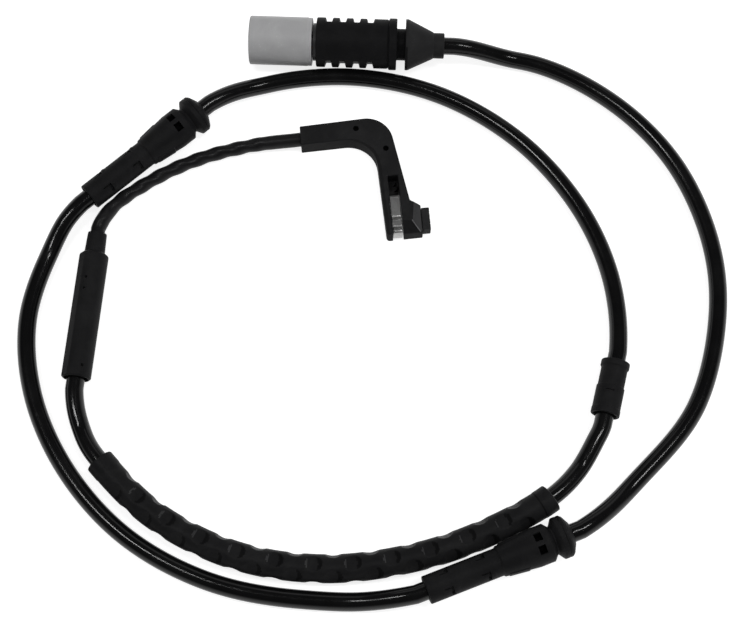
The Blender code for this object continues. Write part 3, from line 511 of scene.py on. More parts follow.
def make_cable():
    route, seats = cable_route()
    piece = pipe("cable", route, 40, lambda here, angle: CABLE_RADIUS, "main_cable")
    return piece, route, seats


def make_lead():
    route, _ = lead_route()
    total = distances(route)[-1]

    def radius_at(here, angle):
        lumps = smooth((here - LEAD_SMOOTH) / 6.0) * smooth((total - 13.0 - here) / 3.0)
        twist = math.pi * here / LUMP_PITCH
        valley = 0.5 - 0.5 * math.cos(2 * (angle - twist))
        swell = 0.3 * math.exp(-((here - (total - 19.0)) / 2.2) ** 2)
        return LEAD_RADIUS + swell - LUMP_DEPTH * lumps * valley

    return pipe("lead_sheath", route, 48, radius_at, "lead"), route


# Fittings on the cords


def make_splice():
    top = SPLICE_LENGTH + NOSE_LENGTH
    outside = [
        (2.75, top, 0.25), (2.95, SPLICE_LENGTH, 0.25), (SPLICE_RADIUS - 0.9, SPLICE_LENGTH - 0.2, 0.2),
        (SPLICE_RADIUS, SPLICE_LENGTH - 0.9, 0.5), (SPLICE_RADIUS, 0.45, 0.3),
        (SPLICE_RADIUS - 0.45, 0.0, 0.2),
    ]
    inside = [(3.5, 0.0, 0.15), (3.5, 1.4, 0.1), (CABLE_BORE, 1.4, 0.05), (CABLE_BORE, 3.0, 0.0),
              (2.4, top - 3.0, 0.0), (2.4, top, 0.1)]
    pins = Pockets([(29.3, -8.0, 0.8, 0.8, 0.7, 0.2), (25.9, -8.0, 0.8, 0.8, 0.7, 0.2),
                    (3.2, 28.0, 0.9, 0.9, 0.7, 0.2)], SPLICE_RADIUS)
    loop = split_loop(rounded_loop(outside, inside, 0.2), pins.stations() + [k * 2.0 for k in range(1, 19)])

    def carve(radius, station, angle):
        radius = pins.carve(radius, station, angle)
        flat = math.cos(off_top(angle) + math.radians(52.0))
        if station < SPLICE_LENGTH - 0.1 and flat > 0.2:
            radius = min(radius, 3.83 / flat)
        return radius

    return turned("splice_cover", loop, even_angles(96, pins.angles()), carve, "splice_sleeve",
                  30.0, lying(SPLICE_MOUTH, SPLICE_HEADING, SPLICE_RADIUS))


def dimple_depth(station, angle):
    """How deep the sleeve is sunk at a station and an angle off its top: a bowl with a firm rim."""
    deepest = 0.0
    pockets = int((SLEEVE_LENGTH - 2 * SLEEVE_COLLAR) / DIMPLE_PITCH)
    first = (SLEEVE_LENGTH - (pockets - 1) * DIMPLE_PITCH) / 2
    roll = math.radians(DIMPLE_ROLL + DIMPLE_TWIST * (station / SLEEVE_LENGTH - 0.5))
    for row in range(DIMPLE_ROWS):
        turn = signed(angle - roll - 2 * math.pi * row / DIMPLE_ROWS)
        if abs(turn) * SLEEVE_RADIUS > DIMPLE_RADIUS:
            continue
        start = first + (DIMPLE_PITCH / 2 if row % 2 else 0.0)
        number = max(0, min(pockets - (2 if row % 2 else 1), round((station - start) / DIMPLE_PITCH)))
        share = math.hypot(station - start - number * DIMPLE_PITCH, turn * SLEEVE_RADIUS) / DIMPLE_RADIUS
        if share < 1.0:
            deepest = max(deepest, DIMPLE_DEPTH * (1.0 - share ** 3))
    return deepest


def make_sleeve(route, seats):
    rings = 400
    radius = SLEEVE_RADIUS
    outside = [(radius, SLEEVE_LENGTH, 0.35), (radius, 0.0, 0.35)]
    inside = [(2.95, 0.0, 0.2), (2.95, SLEEVE_LENGTH, 0.2)]
    step = SLEEVE_LENGTH / rings
    loop = split_loop(rounded_loop(outside, inside, 0.3), [k * step for k in range(1, rings)])
    loop = split_loop(loop, [k * 10 * step for k in range(1, rings // 10)], False)
    collar = SLEEVE_COLLAR - 0.3

    def carve(radius, station, angle):
        end = min(station, SLEEVE_LENGTH - station)
        waist = 0.12 * smooth((end - collar) / 0.5)
        return radius - waist - dimple_depth(station, angle)

    corners, faces = skin(loop, even_angles(108), carve)
    run = distances(route)
    first, last, height = seats["sleeve"]
    start = (run[first] + run[last] - SLEEVE_LENGTH) / 2
    bent = []
    i = 0
    for x, y, station in corners:
        here = station + start
        while run[i] > here:
            i -= 1
        while run[i + 1] < here:
            i += 1
        share = (here - run[i]) / (run[i + 1] - run[i])
        centre = route[i].lerp(route[i + 1], share)
        ahead = tangent(route, i).lerp(tangent(route, i + 1), share)
        side = Vector((ahead.y, -ahead.x, 0.0)).normalized()
        bent.append(Vector((centre.x, centre.y, height)) + UP * x + side * y)
    return add_piece("dimpled_sleeve", bent, faces, "protective_sleeve", 50.0, even=False)


def make_bush():
    radius = BUSH_RADIUS
    waist = radius - 0.35
    middle = BUSH_LENGTH / 2
    outside = [(radius, BUSH_LENGTH, 0.6), (radius, BUSH_LENGTH - 1.7, 0.25),
               (waist, BUSH_LENGTH - 2.1, 0.3), (waist, middle + 0.4, 0.1),
               (radius - 0.1, middle + 0.2, 0.1), (radius - 0.1, 1.9, 0.1),
               (radius, 1.7, 0.1), (radius, 0.0, 0.6)]
    inside = [(3.35, 0.0, 0.25), (CABLE_BORE, 0.8, 0.1), (CABLE_BORE, BUSH_LENGTH - 0.8, 0.1),
              (3.35, BUSH_LENGTH, 0.25)]
    nick = Pockets([(middle - 1.4, -6.0, 0.35, 2.6, 0.3, 0.12)], radius)
    loop = split_loop(rounded_loop(outside, inside, 0.2), nick.stations())
    return turned("small_bush", loop, even_angles(80, nick.angles()), nick.carve, "cable_bush",
                  35.0, lying(BUSH_LOW_END, BUSH_HEADING, BUSH_RADIUS))


def make_grommet(name, slim_end, heading):
    flange_low = GROMMET_LENGTH - 3.9
    outside = [
        (3.4, GROMMET_LENGTH, 0.15), (FLANGE_RADIUS - 0.55, GROMMET_LENGTH - 1.1, 0.3),
        (FLANGE_RADIUS, GROMMET_LENGTH - 1.75, 0.4), (FLANGE_RADIUS, flange_low, 0.35),
        (4.1, 37.4, 0.2), (4.1, 37.0, 0.2), (GROMMET_RADIUS, 35.8, 0.3),
        (GROMMET_RADIUS, 31.6, 3.0), (GROMMET_SLIM + 0.4, 21.6, 0.3), (GROMMET_SLIM, 21.2, 0.2),
        (GROMMET_SLIM, 0.0, 0.45),
    ]
    inside = [(CABLE_BORE, 0.0, 0.15), (CABLE_BORE, GROMMET_LENGTH, 0.1)]
    pockets = []
    for side in (-1, 1):
        pockets.append((33.0, side * 21.0, 2.1, 2.2, 1.75, 0.1))
        pockets.append((25.5, side * 88.0, 6.0, 3.4, -0.22, 0.25))
        for station in (6.6, 17.3):
            pockets.append((station, side * 52.0, 0.9, 3.6, 0.7, 0.16))
            pockets.append((station - 1.1, side * 33.0, 2.2, 0.5, 0.45, 0.14))
            pockets.append((station + 1.3, side * 50.0, 1.2, 2.4, -0.16, 0.3))
    holes = Pockets(pockets, 4.6)
    lines = holes.stations() + [39.9, 40.1, 40.3] + [k * 1.5 for k in range(1, 21)]
    loop = split_loop(rounded_loop(outside, inside, 0.2), lines)

    def carve(radius, station, angle):
        seam = 0.16 * max(0.0, 1.0 - abs(station - 40.1) / 0.2)
        return radius - seam - holes.depth(station, angle)

    return turned(f"bracket_{name}", loop, even_angles(96, holes.angles()), carve, name,
                  35.0, lying(slim_end, heading, FLANGE_RADIUS))


# Connector


def connector_place():
    return lying(CONNECTOR_REAR, CONNECTOR_HEADING, CONNECTOR_HEIGHT)


def make_boot():
    radius = BOOT_RADIUS
    flange = NECK_END + BOOT_FLANGE
    outside = [
        (radius, BOOT_LENGTH, 0.45), (radius - 0.05, flange + 0.5, 0.12), (radius - 0.3, flange + 0.15, 0.1),
        (BOOT_FLANGE_RADIUS, flange - 0.2, 0.2), (BOOT_FLANGE_RADIUS, NECK_END, 0.35),
        (NECK_RADIUS, NECK_END, 0.25), (NECK_RADIUS, CONE_END, 0.25), (CONE_RADIUS, CONE_END, 0.15),
        (CONE_RADIUS, CONE_END - 0.8, 0.3), (4.1, 3.6, 0.5), (3.8, 3.2, 0.3), (3.8, 0.0, 0.5),
    ]
    inside = [(CABLE_BORE, 0.0, 0.2), (CABLE_BORE, 27.5, 0.1), (3.9, 27.5, 0.1), (3.9, 36.2, 0.1),
              (5.9, 36.2, 0.1), (5.9, BOOT_LENGTH, 0.2)]
    middles = [BOOT_LENGTH - NOTCH_FIRST - NOTCH_PITCH * number for number in range(4)]
    lines = []
    for middle in middles:
        lines += [middle + shift for shift in (-1.2, -1.05, -0.9, -0.75, -0.6, 0.6, 0.75, 0.9, 1.05, 1.2)]
    loop = split_loop(rounded_loop(outside, inside, 0.2), lines)
    floor = BOOT_RADIUS - NOTCH_DEPTH
    roll = math.radians(NOTCH_ROLL)

    def carve(radius, station, angle):
        across = abs(math.sin(angle - roll))
        if across < 0.5 or radius < floor:
            return radius
        for middle in middles:
            share = smooth((1.2 - abs(station - middle)) / 0.6)
            if share > 0.0:
                return radius - max(0.0, radius - floor / across) * share
        return radius

    corner = math.asin(floor / BOOT_RADIUS)
    more = [roll + sign * corner + turn for sign in (-1, 1) for turn in (0.0, math.pi)]
    return turned("rubber_boot", loop, even_angles(120, more), carve, "connector_boot",
                  35.0, connector_place())


def make_cap():
    outside = [(CAP_RADIUS, 39.5, 0.12), (CAP_RADIUS, 36.5, 0.2)]
    inside = [(2.75, 36.5, 0.2), (2.75, 39.5, 0.2)]
    return turned("cap_ring", rounded_loop(outside, inside, 0.2), even_angles(80), None, "rear_cap",
                  35.0, connector_place())


def make_shell():
    front = SHELL_REAR + SHELL_LENGTH
    radius = SHELL_RADIUS
    outside = [(6.35, front, 0.35), (radius, front, 0.9), (radius, SHELL_REAR + 1.3, 0.08),
               (radius - 0.1, SHELL_REAR + 1.2, 0.08), (radius - 0.1, SHELL_REAR, 0.25)]
    inside = [(3.75, SHELL_REAR, 0.2), (3.75, SHELL_REAR + 2.6, 0.1), (5.9, SHELL_REAR + 2.6, 0.1),
              (5.9, front - 0.5, 0.3)]
    loop = split_loop(rounded_loop(outside, inside, 0.3), [SHELL_REAR + 2.0 + k * 1.5 for k in range(11)])

    def carve(radius, station, angle):
        if station < SHELL_REAR + 1.4 or radius < SHELL_RADIUS - 0.3:
            return radius
        aside = math.cos(off_top(angle) - math.radians(50.0))
        return min(radius, (SHELL_RADIUS - 0.08) / aside) if aside > 0.5 else radius

    return turned("socket_shell", loop, even_angles(120), carve, "connector_shell", 30.0,
                  connector_place())


def make_carrier():
    """Insert with a hole round each contact and a groove in its front."""
    low = CARRIER_REAR
    high = CARRIER_FRONT
    middle = Matrix.Translation((0.0, 0.0, (low + high) / 2 * MM))
    mesh = basic_mesh("contact_insert", bmesh.ops.create_cone, cap_ends=True, segments=80,
                      radius1=CARRIER_RADIUS * MM, radius2=CARRIER_RADIUS * MM, depth=(high - low) * MM,
                      matrix=middle)
    piece = new_object("contact_insert", mesh)
    cutters = []
    for side in (1.0, -1.0):
        hole = Matrix.Translation((0.0, side * CONTACT_OFFSET * MM, (low + high) / 2 * MM))
        cutters.append(round_cutter(hole, CONTACT_RADIUS + FIT, 20.0))
    rim = Matrix.Translation((0.0, 0.0, (high + 10.0 - 0.5) * MM))
    cutters.append(ring_cutter(rim, 4.9, 5.2, 20.0))
    bake_cuts(piece, cutters)
    round_edges(piece, 0.14, 30.0)
    return settle(piece, "contact_carrier", 40.0, connector_place())


def make_contacts():
    for number, side in ((1, 1.0), (2, -1.0)):
        radius = CONTACT_RADIUS
        waist = radius - 0.12
        outside = [(radius, 51.7, 0.3), (radius, 50.2, 0.05), (waist, 50.1, 0.05), (waist, 45.0, 0.05),
                   (radius, 44.9, 0.05), (radius, 43.7, 0.2)]
        inside = [(0.5, 43.7, 0.1), (0.5, 51.0, 0.1), (0.85, 51.7, 0.1)]
        slit = Pockets([(49.5, turn, 4.6, 0.3, 0.35, 0.06) for turn in (0.0, 180.0)], radius)
        loop = split_loop(rounded_loop(outside, inside, 0.1), slit.stations())
        place = connector_place() @ Matrix.Translation((0.0, side * CONTACT_OFFSET * MM, 0.0))
        turned(f"socket_contact_{number}", loop, even_angles(40, slit.angles()), slit.carve,
               f"contact_{number}", 40.0, place)


# Sensor head


def upright(start, heading, height=0.0):
    """Place whose local +X runs along the heading and local +Z is up."""
    spot = Matrix.Translation(Vector((start[0], start[1], height)) * MM)
    return spot @ Matrix.Rotation(math.radians(heading), 4, "Z")


def cutter_object(mesh, place):
    made = new_object("cutter", mesh)
    made.matrix_world = place
    return made


def block_cutter(place, size):
    scale = Matrix.Diagonal((*[side * MM for side in size], 1.0))
    return cutter_object(basic_mesh("cutter", bmesh.ops.create_cube, size=1.0, matrix=scale), place)


def round_cutter(place, radius, length, sides=32, low_radius=None):
    mesh = basic_mesh("cutter", bmesh.ops.create_cone, cap_ends=True, segments=sides,
                      radius1=(low_radius or radius) * MM, radius2=radius * MM, depth=length * MM)
    return cutter_object(mesh, place)


def ring_cutter(place, inner, outer, length):
    half = length / 2
    loop = [(outer, half, True), (outer, -half, True), (inner, -half, True), (inner, half, True)]
    return cutter_object(new_mesh("cutter", *skin(loop, even_angles(64))), place)


def bake(piece):
    """Keep what the modifiers of a piece make as its mesh."""
    graph = bpy.context.evaluated_depsgraph_get()
    mesh = bpy.data.meshes.new_from_object(piece.evaluated_get(graph))
    piece.modifiers.clear()
    piece.data = mesh
    return mesh


def bake_cuts(piece, cutters):
    """Cut the piece with each cutter, keep the result as its mesh and drop the cutters."""
    for cutter in cutters:
        trim = piece.modifiers.new("Cut", "BOOLEAN")
        trim.object = cutter
        trim.operation = "DIFFERENCE"
        trim.solver = "EXACT"
    mesh = bake(piece)
    work = bmesh.new()
    work.from_mesh(mesh)
    bmesh.ops.remove_doubles(work, verts=work.verts, dist=0.01 * MM)
    bmesh.ops.dissolve_limit(work, angle_limit=math.radians(0.4), verts=work.verts, edges=work.edges)
    work.to_mesh(mesh)
    work.free()
    for cutter in cutters:
        bpy.data.objects.remove(cutter, do_unlink=True)


def round_edges(piece, width, angle):
    edge = piece.modifiers.new("Edges", "BEVEL")
    edge.limit_method = "ANGLE"
    edge.angle_limit = math.radians(angle)
    edge.width = width * MM
    edge.segments = 3
    edge.use_clamp_overlap = False
    bake(piece)


def shifted_corners(corners, insets):
    spots = [Vector(corner[:2]) for corner in corners]
    count = len(spots)
    lines = []
    for i, inset in enumerate(insets):
        ahead = (spots[(i + 1) % count] - spots[i]).normalized()
        lines.append((spots[i] + Vector((-ahead.y, ahead.x)) * inset, ahead))
    moved = []
    for i in range(count):
        (point, ahead), (other, turn) = lines[i - 1], lines[i]
        moved.append(point + ahead * ((other - point).cross(turn) / ahead.cross(turn)))
    return moved


def head_outline(insets):
    """Closed plan outline; corners with a rounding get an arc."""
    spots = shifted_corners(HEAD_CORNERS, insets)
    count = len(spots)
    outline = []
    for i, spot in enumerate(spots):
        rounding = HEAD_CORNERS[i][2]
        if rounding == 0.0:
            outline.append(spot)
            continue
        before = (spot - spots[i - 1]).normalized()
        after = (spots[(i + 1) % count] - spot).normalized()
        turn = math.atan2(before.cross(after), before.dot(after))
        radius = rounding + (-1.0 if turn > 0.0 else 1.0) * (insets[i - 1] + insets[i]) / 2
        start = spot - before * (radius * math.tan(abs(turn) / 2))
        side = Vector((-before.y, before.x)) * math.copysign(radius, turn)
        bends = 20 if rounding > 2.0 else 5
        for k in range(bends + 1):
            outline.append(start + side + Matrix.Rotation(turn * k / bends, 2) @ -side)
    return outline


def slope_cutter(ridge, heading, slope, start, stop):
    size = 12.0
    place = upright(ridge, heading, HEAD_THICKNESS) @ Matrix.Rotation(math.radians(slope), 4, "X")
    shift = Matrix.Translation(Vector(((start + stop) / 2, 0.0, size / 2)) * MM)
    return block_cutter(place @ shift, (stop - start, 2 * size, size))


def make_head():
    none = [0.0] * len(HEAD_CORNERS)
    top = list(none)
    top[1] = INNER_CHAMFER
    corners = []
    levels = ((0.0, none), (HEAD_THICKNESS - INNER_CHAMFER, none), (HEAD_THICKNESS, top))
    for height, insets in levels:
        outline = head_outline(insets)
        corners += [(point.x, point.y, height) for point in outline]
    count = len(outline)
    faces = grid_faces(len(levels), count, False, True)
    faces.append(tuple(reversed(range(count))))
    faces.append(tuple(range(len(corners) - count, len(corners))))
    mesh = bpy.data.meshes.new("sensor_head")
    mesh.from_pydata([Vector(corner) * MM for corner in corners], [], faces)
    piece = new_object("sensor_head", mesh)

    past = 21.6
    slot = upright(SLOT_TOP, SLOT_HEADING)

    def in_slot(run, level):
        return slot @ Matrix.Translation(Vector((run, 0.0, level)) * MM)

    cutters = [
        slope_cutter(OUTER_RIDGE, OUTER_RIDGE_HEADING + 180.0, OUTER_SLOPE, -past, past),
        slope_cutter(LOW_RIDGE, LOW_RIDGE_HEADING, LOW_SLOPE, -LOW_RIDGE_START, past),
        block_cutter(in_slot(POCKET_LENGTH + past / 2, 0.0), (past, SLOT_WIDTH, 24.0)),
        block_cutter(in_slot(3.5, HEAD_THICKNESS - POCKET_DEPTH + 4.0), (7.0, SLOT_WIDTH, 8.0)),
        round_cutter(lying(LEAD_SEAT, ARM_HEADING, HEAD_THICKNESS / 2)
                     @ Matrix.Translation((0.0, 0.0, 2.5 * MM)), LEAD_RADIUS + FIT, 11.0, 48),
    ]
    for spot in PIN_MARKS:
        cutters.append(round_cutter(upright(spot, 0.0, HEAD_THICKNESS + 1.0), 0.75, 4.0, 24, 0.6))
    bake_cuts(piece, cutters)
    round_edges(piece, 0.24, 14.0)
    return settle(piece, "sensor_body", 50.0)


def make_tip():
    """Block with rounded edges and shallow upright bands on its outer face."""
    outline = [(0.0, 0.04 - FIT), (0.0, TIP_STAND)]
    for middle in (1.7, 3.4, 5.1):
        outline += [(middle - 0.25, TIP_STAND), (middle - 0.1, TIP_STAND - 0.1),
                    (middle + 0.1, TIP_STAND - 0.1), (middle + 0.25, TIP_STAND)]
    outline += [(TIP_LENGTH, TIP_STAND), (TIP_LENGTH, 0.04 - FIT)]
    count = len(outline)
    low = (HEAD_THICKNESS - TIP_HEIGHT) / 2
    corners = [(x, y + FIT, low + level) for level in (0.0, TIP_HEIGHT) for x, y in outline]
    faces = grid_faces(2, count, False, True)
    faces.append(tuple(reversed(range(count))))
    faces.append(tuple(range(count, 2 * count)))
    piece = new_object("wear_block", new_mesh("wear_block", corners, faces))
    round_edges(piece, 0.22, 50.0)
    return settle(piece, "wear_tip", 40.0, upright(TIP_START, TIP_HEADING))


def make_clip():
    """Bent strip with rounded bends and rounded long edges, pressed to the slot's inner side."""
    points = [Vector((run, HEAD_THICKNESS - depth)) for run, depth in CLIP_PROFILE]
    path = [points[0]]
    for before, spot, after in zip(points, points[1:], points[2:]):
        reach = min(0.45, 0.45 * (spot - before).length, 0.45 * (after - spot).length)
        start = spot + (before - spot).normalized() * reach
        end = spot + (after - spot).normalized() * reach
        path += bend(start, spot, end, 6)
    path.append(points[-1])
    half = SLOT_WIDTH / 2 - FIT
    reach_inward = SLOT_WIDTH / 2 - 0.04
    thick = CLIP_THICKNESS / 2
    edge = 0.12
    section = []
    for sign_across, sign_out, start in ((1, 1, 0), (-1, 1, 1), (-1, -1, 2), (1, -1, 3)):
        for k in range(4):
            angle = math.pi / 2 * (start + k / 3)
            far = half if sign_across > 0 else reach_inward
            section.append((sign_across * (far - edge) + edge * math.cos(angle),
                            sign_out * (thick - edge) + edge * math.sin(angle)))
    corners = []
    for i, spot in enumerate(path):
        ahead = (path[min(i + 1, len(path) - 1)] - path[max(i - 1, 0)]).normalized()
        out = Vector((-ahead.y, ahead.x))
        for across, away in section:
            point = spot + out * away
            corners.append((point.x, across, point.y))
    count = len(section)
    faces = grid_faces(len(path), count, False, True)
    faces.append(tuple(range(count)))
    faces.append(tuple(range(len(corners) - count, len(corners))))
    return add_piece("clip_strip", corners, faces, "spring_clip", 50.0,
                     upright(SLOT_TOP, SLOT_HEADING))


# Finishes


def add_node(tree, kind, inputs=(), **settings):
    """A node with its settings; an input is a number or another node's output."""
    made = tree.nodes.new(kind)
    for name, value in settings.items():
        setattr(made, name, value)
    for name, value in dict(inputs).items():
        if isinstance(value, bpy.types.NodeSocket):
            tree.links.new(value, made.inputs[name])
        else:
            made.inputs[name].default_value = value
    return made


def new_group(name, numbers, results):
    tree = bpy.data.node_groups.new(name, "ShaderNodeTree")
    for label, start in numbers:
        tree.interface.new_socket(label, in_out="INPUT", socket_type="NodeSocketFloat").default_value = start
    for label in results:
        tree.interface.new_socket(label, in_out="OUTPUT", socket_type="NodeSocketFloat")
    return tree, tree.nodes.new("NodeGroupInput"), tree.nodes.new("NodeGroupOutput")


def noise(tree, place, scale, detail, roughness, distortion=0.0):
    return add_node(tree, "ShaderNodeTexNoise", {"Vector": place, "Scale": scale, "Detail": detail,
                                                 "Roughness": roughness, "Distortion": distortion})


def grain_group():
    """Fine moulded grain and the shallow unevenness of a moulded face."""
    tree, given, result = new_group("moulded_surface", (("Grain", 2600.0), ("Waves", 240.0)),
                                    ("Grain", "Waves"))
    place = add_node(tree, "ShaderNodeTexCoord").outputs["Object"]
    fine = noise(tree, place, given.outputs["Grain"], 3.0, 0.6)
    wide = noise(tree, place, given.outputs["Waves"], 2.0, 0.45, 0.3)
    tree.links.new(fine.outputs["Fac"], result.inputs["Grain"])
    tree.links.new(wide.outputs["Fac"], result.inputs["Waves"])
    return tree


def bloom_group():
    """Soft lighter patches, as handling and dust leave them on dark rubber and plastic."""
    tree, given, result = new_group("soft_bloom", (("Size", 130.0), ("Specks", 1500.0)),
                                    ("Patches", "Specks"))
    place = add_node(tree, "ShaderNodeTexCoord").outputs["Object"]
    patches = noise(tree, place, given.outputs["Size"], 5.0, 0.62, 0.6).outputs["Fac"]
    clear = add_node(tree, "ShaderNodeMapRange", {"Value": patches, "From Min": 0.42, "From Max": 0.72})
    cells = add_node(tree, "ShaderNodeTexVoronoi", {"Vector": place, "Scale": given.outputs["Specks"]})
    dots = add_node(tree, "ShaderNodeMapRange", {"Value": cells.outputs["Distance"], "From Min": 0.16,
                                                 "From Max": 0.05})
    some = add_node(tree, "ShaderNodeMapRange", {"Value": patches, "From Min": 0.5, "From Max": 0.6})
    dots = add_node(tree, "ShaderNodeMath", operation="MULTIPLY",
                    inputs={0: dots.outputs["Result"], 1: some.outputs["Result"]})
    tree.links.new(clear.outputs["Result"], result.inputs["Patches"])
    tree.links.new(dots.outputs["Value"], result.inputs["Specks"])
    return tree


def new_material(name):
    made = bpy.data.materials.new(name)
    made.use_nodes = True
    return made, made.node_tree, made.node_tree.nodes["Principled BSDF"]


def mixed(tree, factor, first, second):
    """The output of a mix of two colours; the first may be another node's output."""
    mix = add_node(tree, "ShaderNodeMix", data_type="RGBA", inputs={"Factor": factor})
    if isinstance(first, bpy.types.NodeSocket):
        tree.links.new(first, mix.inputs[6])
    else:
        mix.inputs[6].default_value = (*first, 1.0)
    mix.inputs[7].default_value = (*second, 1.0)
    return mix.outputs[2]


def ranged(tree, value, limits):
    made = add_node(tree, "ShaderNodeMapRange", {"Value": value, "To Min": limits[0], "To Max": limits[1]})
    return made.outputs["Result"]


def moulded(name, dark, light, roughness, specular, grain, waves, size=130.0):
    """A moulded plastic or rubber: two tones in soft patches, fine grain and gentle waves."""
    made, tree, shader = new_material(name)
    bloom = add_node(tree, "ShaderNodeGroup", node_tree=GROUPS["bloom"], inputs={"Size": size})
    surface = add_node(tree, "ShaderNodeGroup", node_tree=GROUPS["grain"])
    speck = tuple(min(1.0, channel * 1.8) for channel in light)
    base = mixed(tree, bloom.outputs["Patches"], dark, light)
    tree.links.new(mixed(tree, bloom.outputs["Specks"], base, speck), shader.inputs["Base Color"])
    tree.links.new(ranged(tree, bloom.outputs["Patches"], roughness), shader.inputs["Roughness"])
    shader.inputs["Specular IOR Level"].default_value = specular
    low = add_node(tree, "ShaderNodeBump", {"Height": surface.outputs["Waves"], "Strength": 1.0,
                                            "Distance": waves * MM})
    fine = add_node(tree, "ShaderNodeBump", {"Height": surface.outputs["Grain"], "Strength": 1.0,
                                             "Distance": grain * MM, "Normal": low.outputs["Normal"]})
    tree.links.new(fine.outputs["Normal"], shader.inputs["Normal"])
    return made


def bare_metal(name, dark, light, roughness, direction, stretch):
    """Rolled or plated metal with fine lines along one direction."""
    made, tree, shader = new_material(name)
    place = add_node(tree, "ShaderNodeTexCoord").outputs["Object"]
    rolled = add_node(tree, "ShaderNodeMapping", {"Vector": place, "Rotation": (0.0, 0.0, direction),
                                                  "Scale": (1.0, stretch, 1.0)})
    drawn = noise(tree, rolled.outputs["Vector"], 1500.0, 4.0, 0.6)
    bloom = add_node(tree, "ShaderNodeGroup", node_tree=GROUPS["bloom"], inputs={"Size": 300.0})
    tree.links.new(mixed(tree, bloom.outputs["Patches"], light, dark), shader.inputs["Base Color"])
    tree.links.new(ranged(tree, drawn.outputs["Fac"], roughness), shader.inputs["Roughness"])
    shader.inputs["Metallic"].default_value = 1.0
    bump = add_node(tree, "ShaderNodeBump", {"Height": drawn.outputs["Fac"], "Distance": 0.01 * MM})
    tree.links.new(bump.outputs["Normal"], shader.inputs["Normal"])
    return made


# Moulded finishes: material, dark and light tone as (red, blue) with green as red, roughness,
# specular level, depth in mm of grain and of waves, and where it differs the size of the patches
GREYS = {
    "head": ("head_plastic", (0.0125, 0.013), (0.018, 0.0185), (0.55, 0.7), 0.03, 0.03, 0.05),
    # Painted light: a lighter copy of the head plastic for the wedge's right slope
    "lit_facet": ("facet_light", (0.034, 0.035), (0.044, 0.045), (0.5, 0.6), 0.08, 0.02, 0.03),
    # Painted shade: a darker copy of the head plastic for the wedge's low slope
    "shaded_low_facet": ("facet_dark", (0.005, 0.0055), (0.008, 0.0085), (0.5, 0.62), 0.1, 0.03, 0.05),
    # Painted shade: near-black for the pin marks and the grommets' windows
    "hollow": ("hollow_shadow", (0.0015, 0.0016), (0.0025, 0.0026), (0.7, 0.8), 0.02, 0.02, 0.02),
    # Painted light: a lighter copy of the boot rubber for the boot's cone and collar
    "cone": ("cone_rubber", (0.016, 0.0165), (0.021, 0.0215), (0.5, 0.62), 0.06, 0.02, 0.04),
    # Painted highlight: a lighter copy of the sleeve rubber for the lit walls of the dimples
    "lit_wall": ("sleeve_rim", (0.024, 0.025), (0.034, 0.035), (0.42, 0.54), 0.15, 0.02, 0.03),
    # Painted shade: a darker copy of the sleeve rubber for the shaded walls of the dimples
    "shaded_wall": ("sleeve_hollow", (0.004, 0.0042), (0.006, 0.0063), (0.5, 0.62), 0.05, 0.02, 0.03),
    # Painted highlight: a much lighter copy of the head plastic along the wedge's ridge
    "ridge": ("ridge_worn", (0.075, 0.077), (0.1, 0.102), (0.4, 0.5), 0.2, 0.02, 0.03),
    "tip": ("tip_plastic", (0.016, 0.0165), (0.024, 0.025), (0.5, 0.62), 0.04, 0.03, 0.04),
    "jacket": ("cable_jacket_gloss", (0.003, 0.0032), (0.005, 0.0052), (0.14, 0.2), 0.3, 0.002, 0.012, 90.0),
    "sheath": ("lead_sheath_satin", (0.007, 0.0075), (0.011, 0.0115), (0.32, 0.42), 0.16, 0.012, 0.03),
    "sleeve": ("sleeve_rubber", (0.009, 0.0095), (0.014, 0.0145), (0.42, 0.54), 0.06, 0.02, 0.03),
    "splice": ("splice_rubber", (0.009, 0.0095), (0.014, 0.0145), (0.5, 0.62), 0.06, 0.02, 0.04),
    "grommet": ("grommet_rubber", (0.008, 0.0085), (0.012, 0.0125), (0.48, 0.6), 0.06, 0.02, 0.04),
    "boot": ("boot_rubber", (0.007, 0.0075), (0.01, 0.0105), (0.5, 0.62), 0.05, 0.02, 0.04),
    "shell": ("shell_plastic", (0.335, 0.34), (0.385, 0.39), (0.4, 0.5), 0.3, 0.015, 0.03),
    "cap": ("cap_plastic", (0.03, 0.032), (0.045, 0.047), (0.42, 0.52), 0.4, 0.015, 0.02),
    "core_dark": ("core_black", (0.04, 0.042), (0.055, 0.058), (0.4, 0.5), 0.5, 0.01, 0.01),
    "seal": ("seal_rubber", (0.014, 0.015), (0.022, 0.023), (0.55, 0.7), 0.4, 0.02, 0.03),
}


def make_finishes():
    GROUPS["grain"] = grain_group()
    GROUPS["bloom"] = bloom_group()
    along_clip = math.radians(90.0 + SLOT_HEADING)
    made = {
        "core_light": moulded("core_brown", (0.3, 0.16, 0.09), (0.36, 0.2, 0.12), (0.4, 0.5), 0.5,
                              0.01, 0.01),
        "steel": bare_metal("clip_steel", (0.26, 0.26, 0.26), (0.4, 0.4, 0.395), (0.28, 0.46),
                            along_clip, 0.05),
        # Painted shade: a darker copy of the clip steel for its deep start in the pocket
        "painted_shade_steel": bare_metal("clip_steel_painted_shade", (0.03, 0.03, 0.03), (0.05, 0.05, 0.05), (0.4, 0.55),
                                 along_clip, 0.05),
        "brass": bare_metal("contact_brass", (0.5, 0.42, 0.26), (0.66, 0.57, 0.38), (0.25, 0.4),
                            math.radians(CONNECTOR_HEADING), 0.2),
    }
    for key, (name, dark, light, *rest) in GREYS.items():
        made[key] = moulded(name, (dark[0], *dark), (light[0], *light), *rest)
    return made


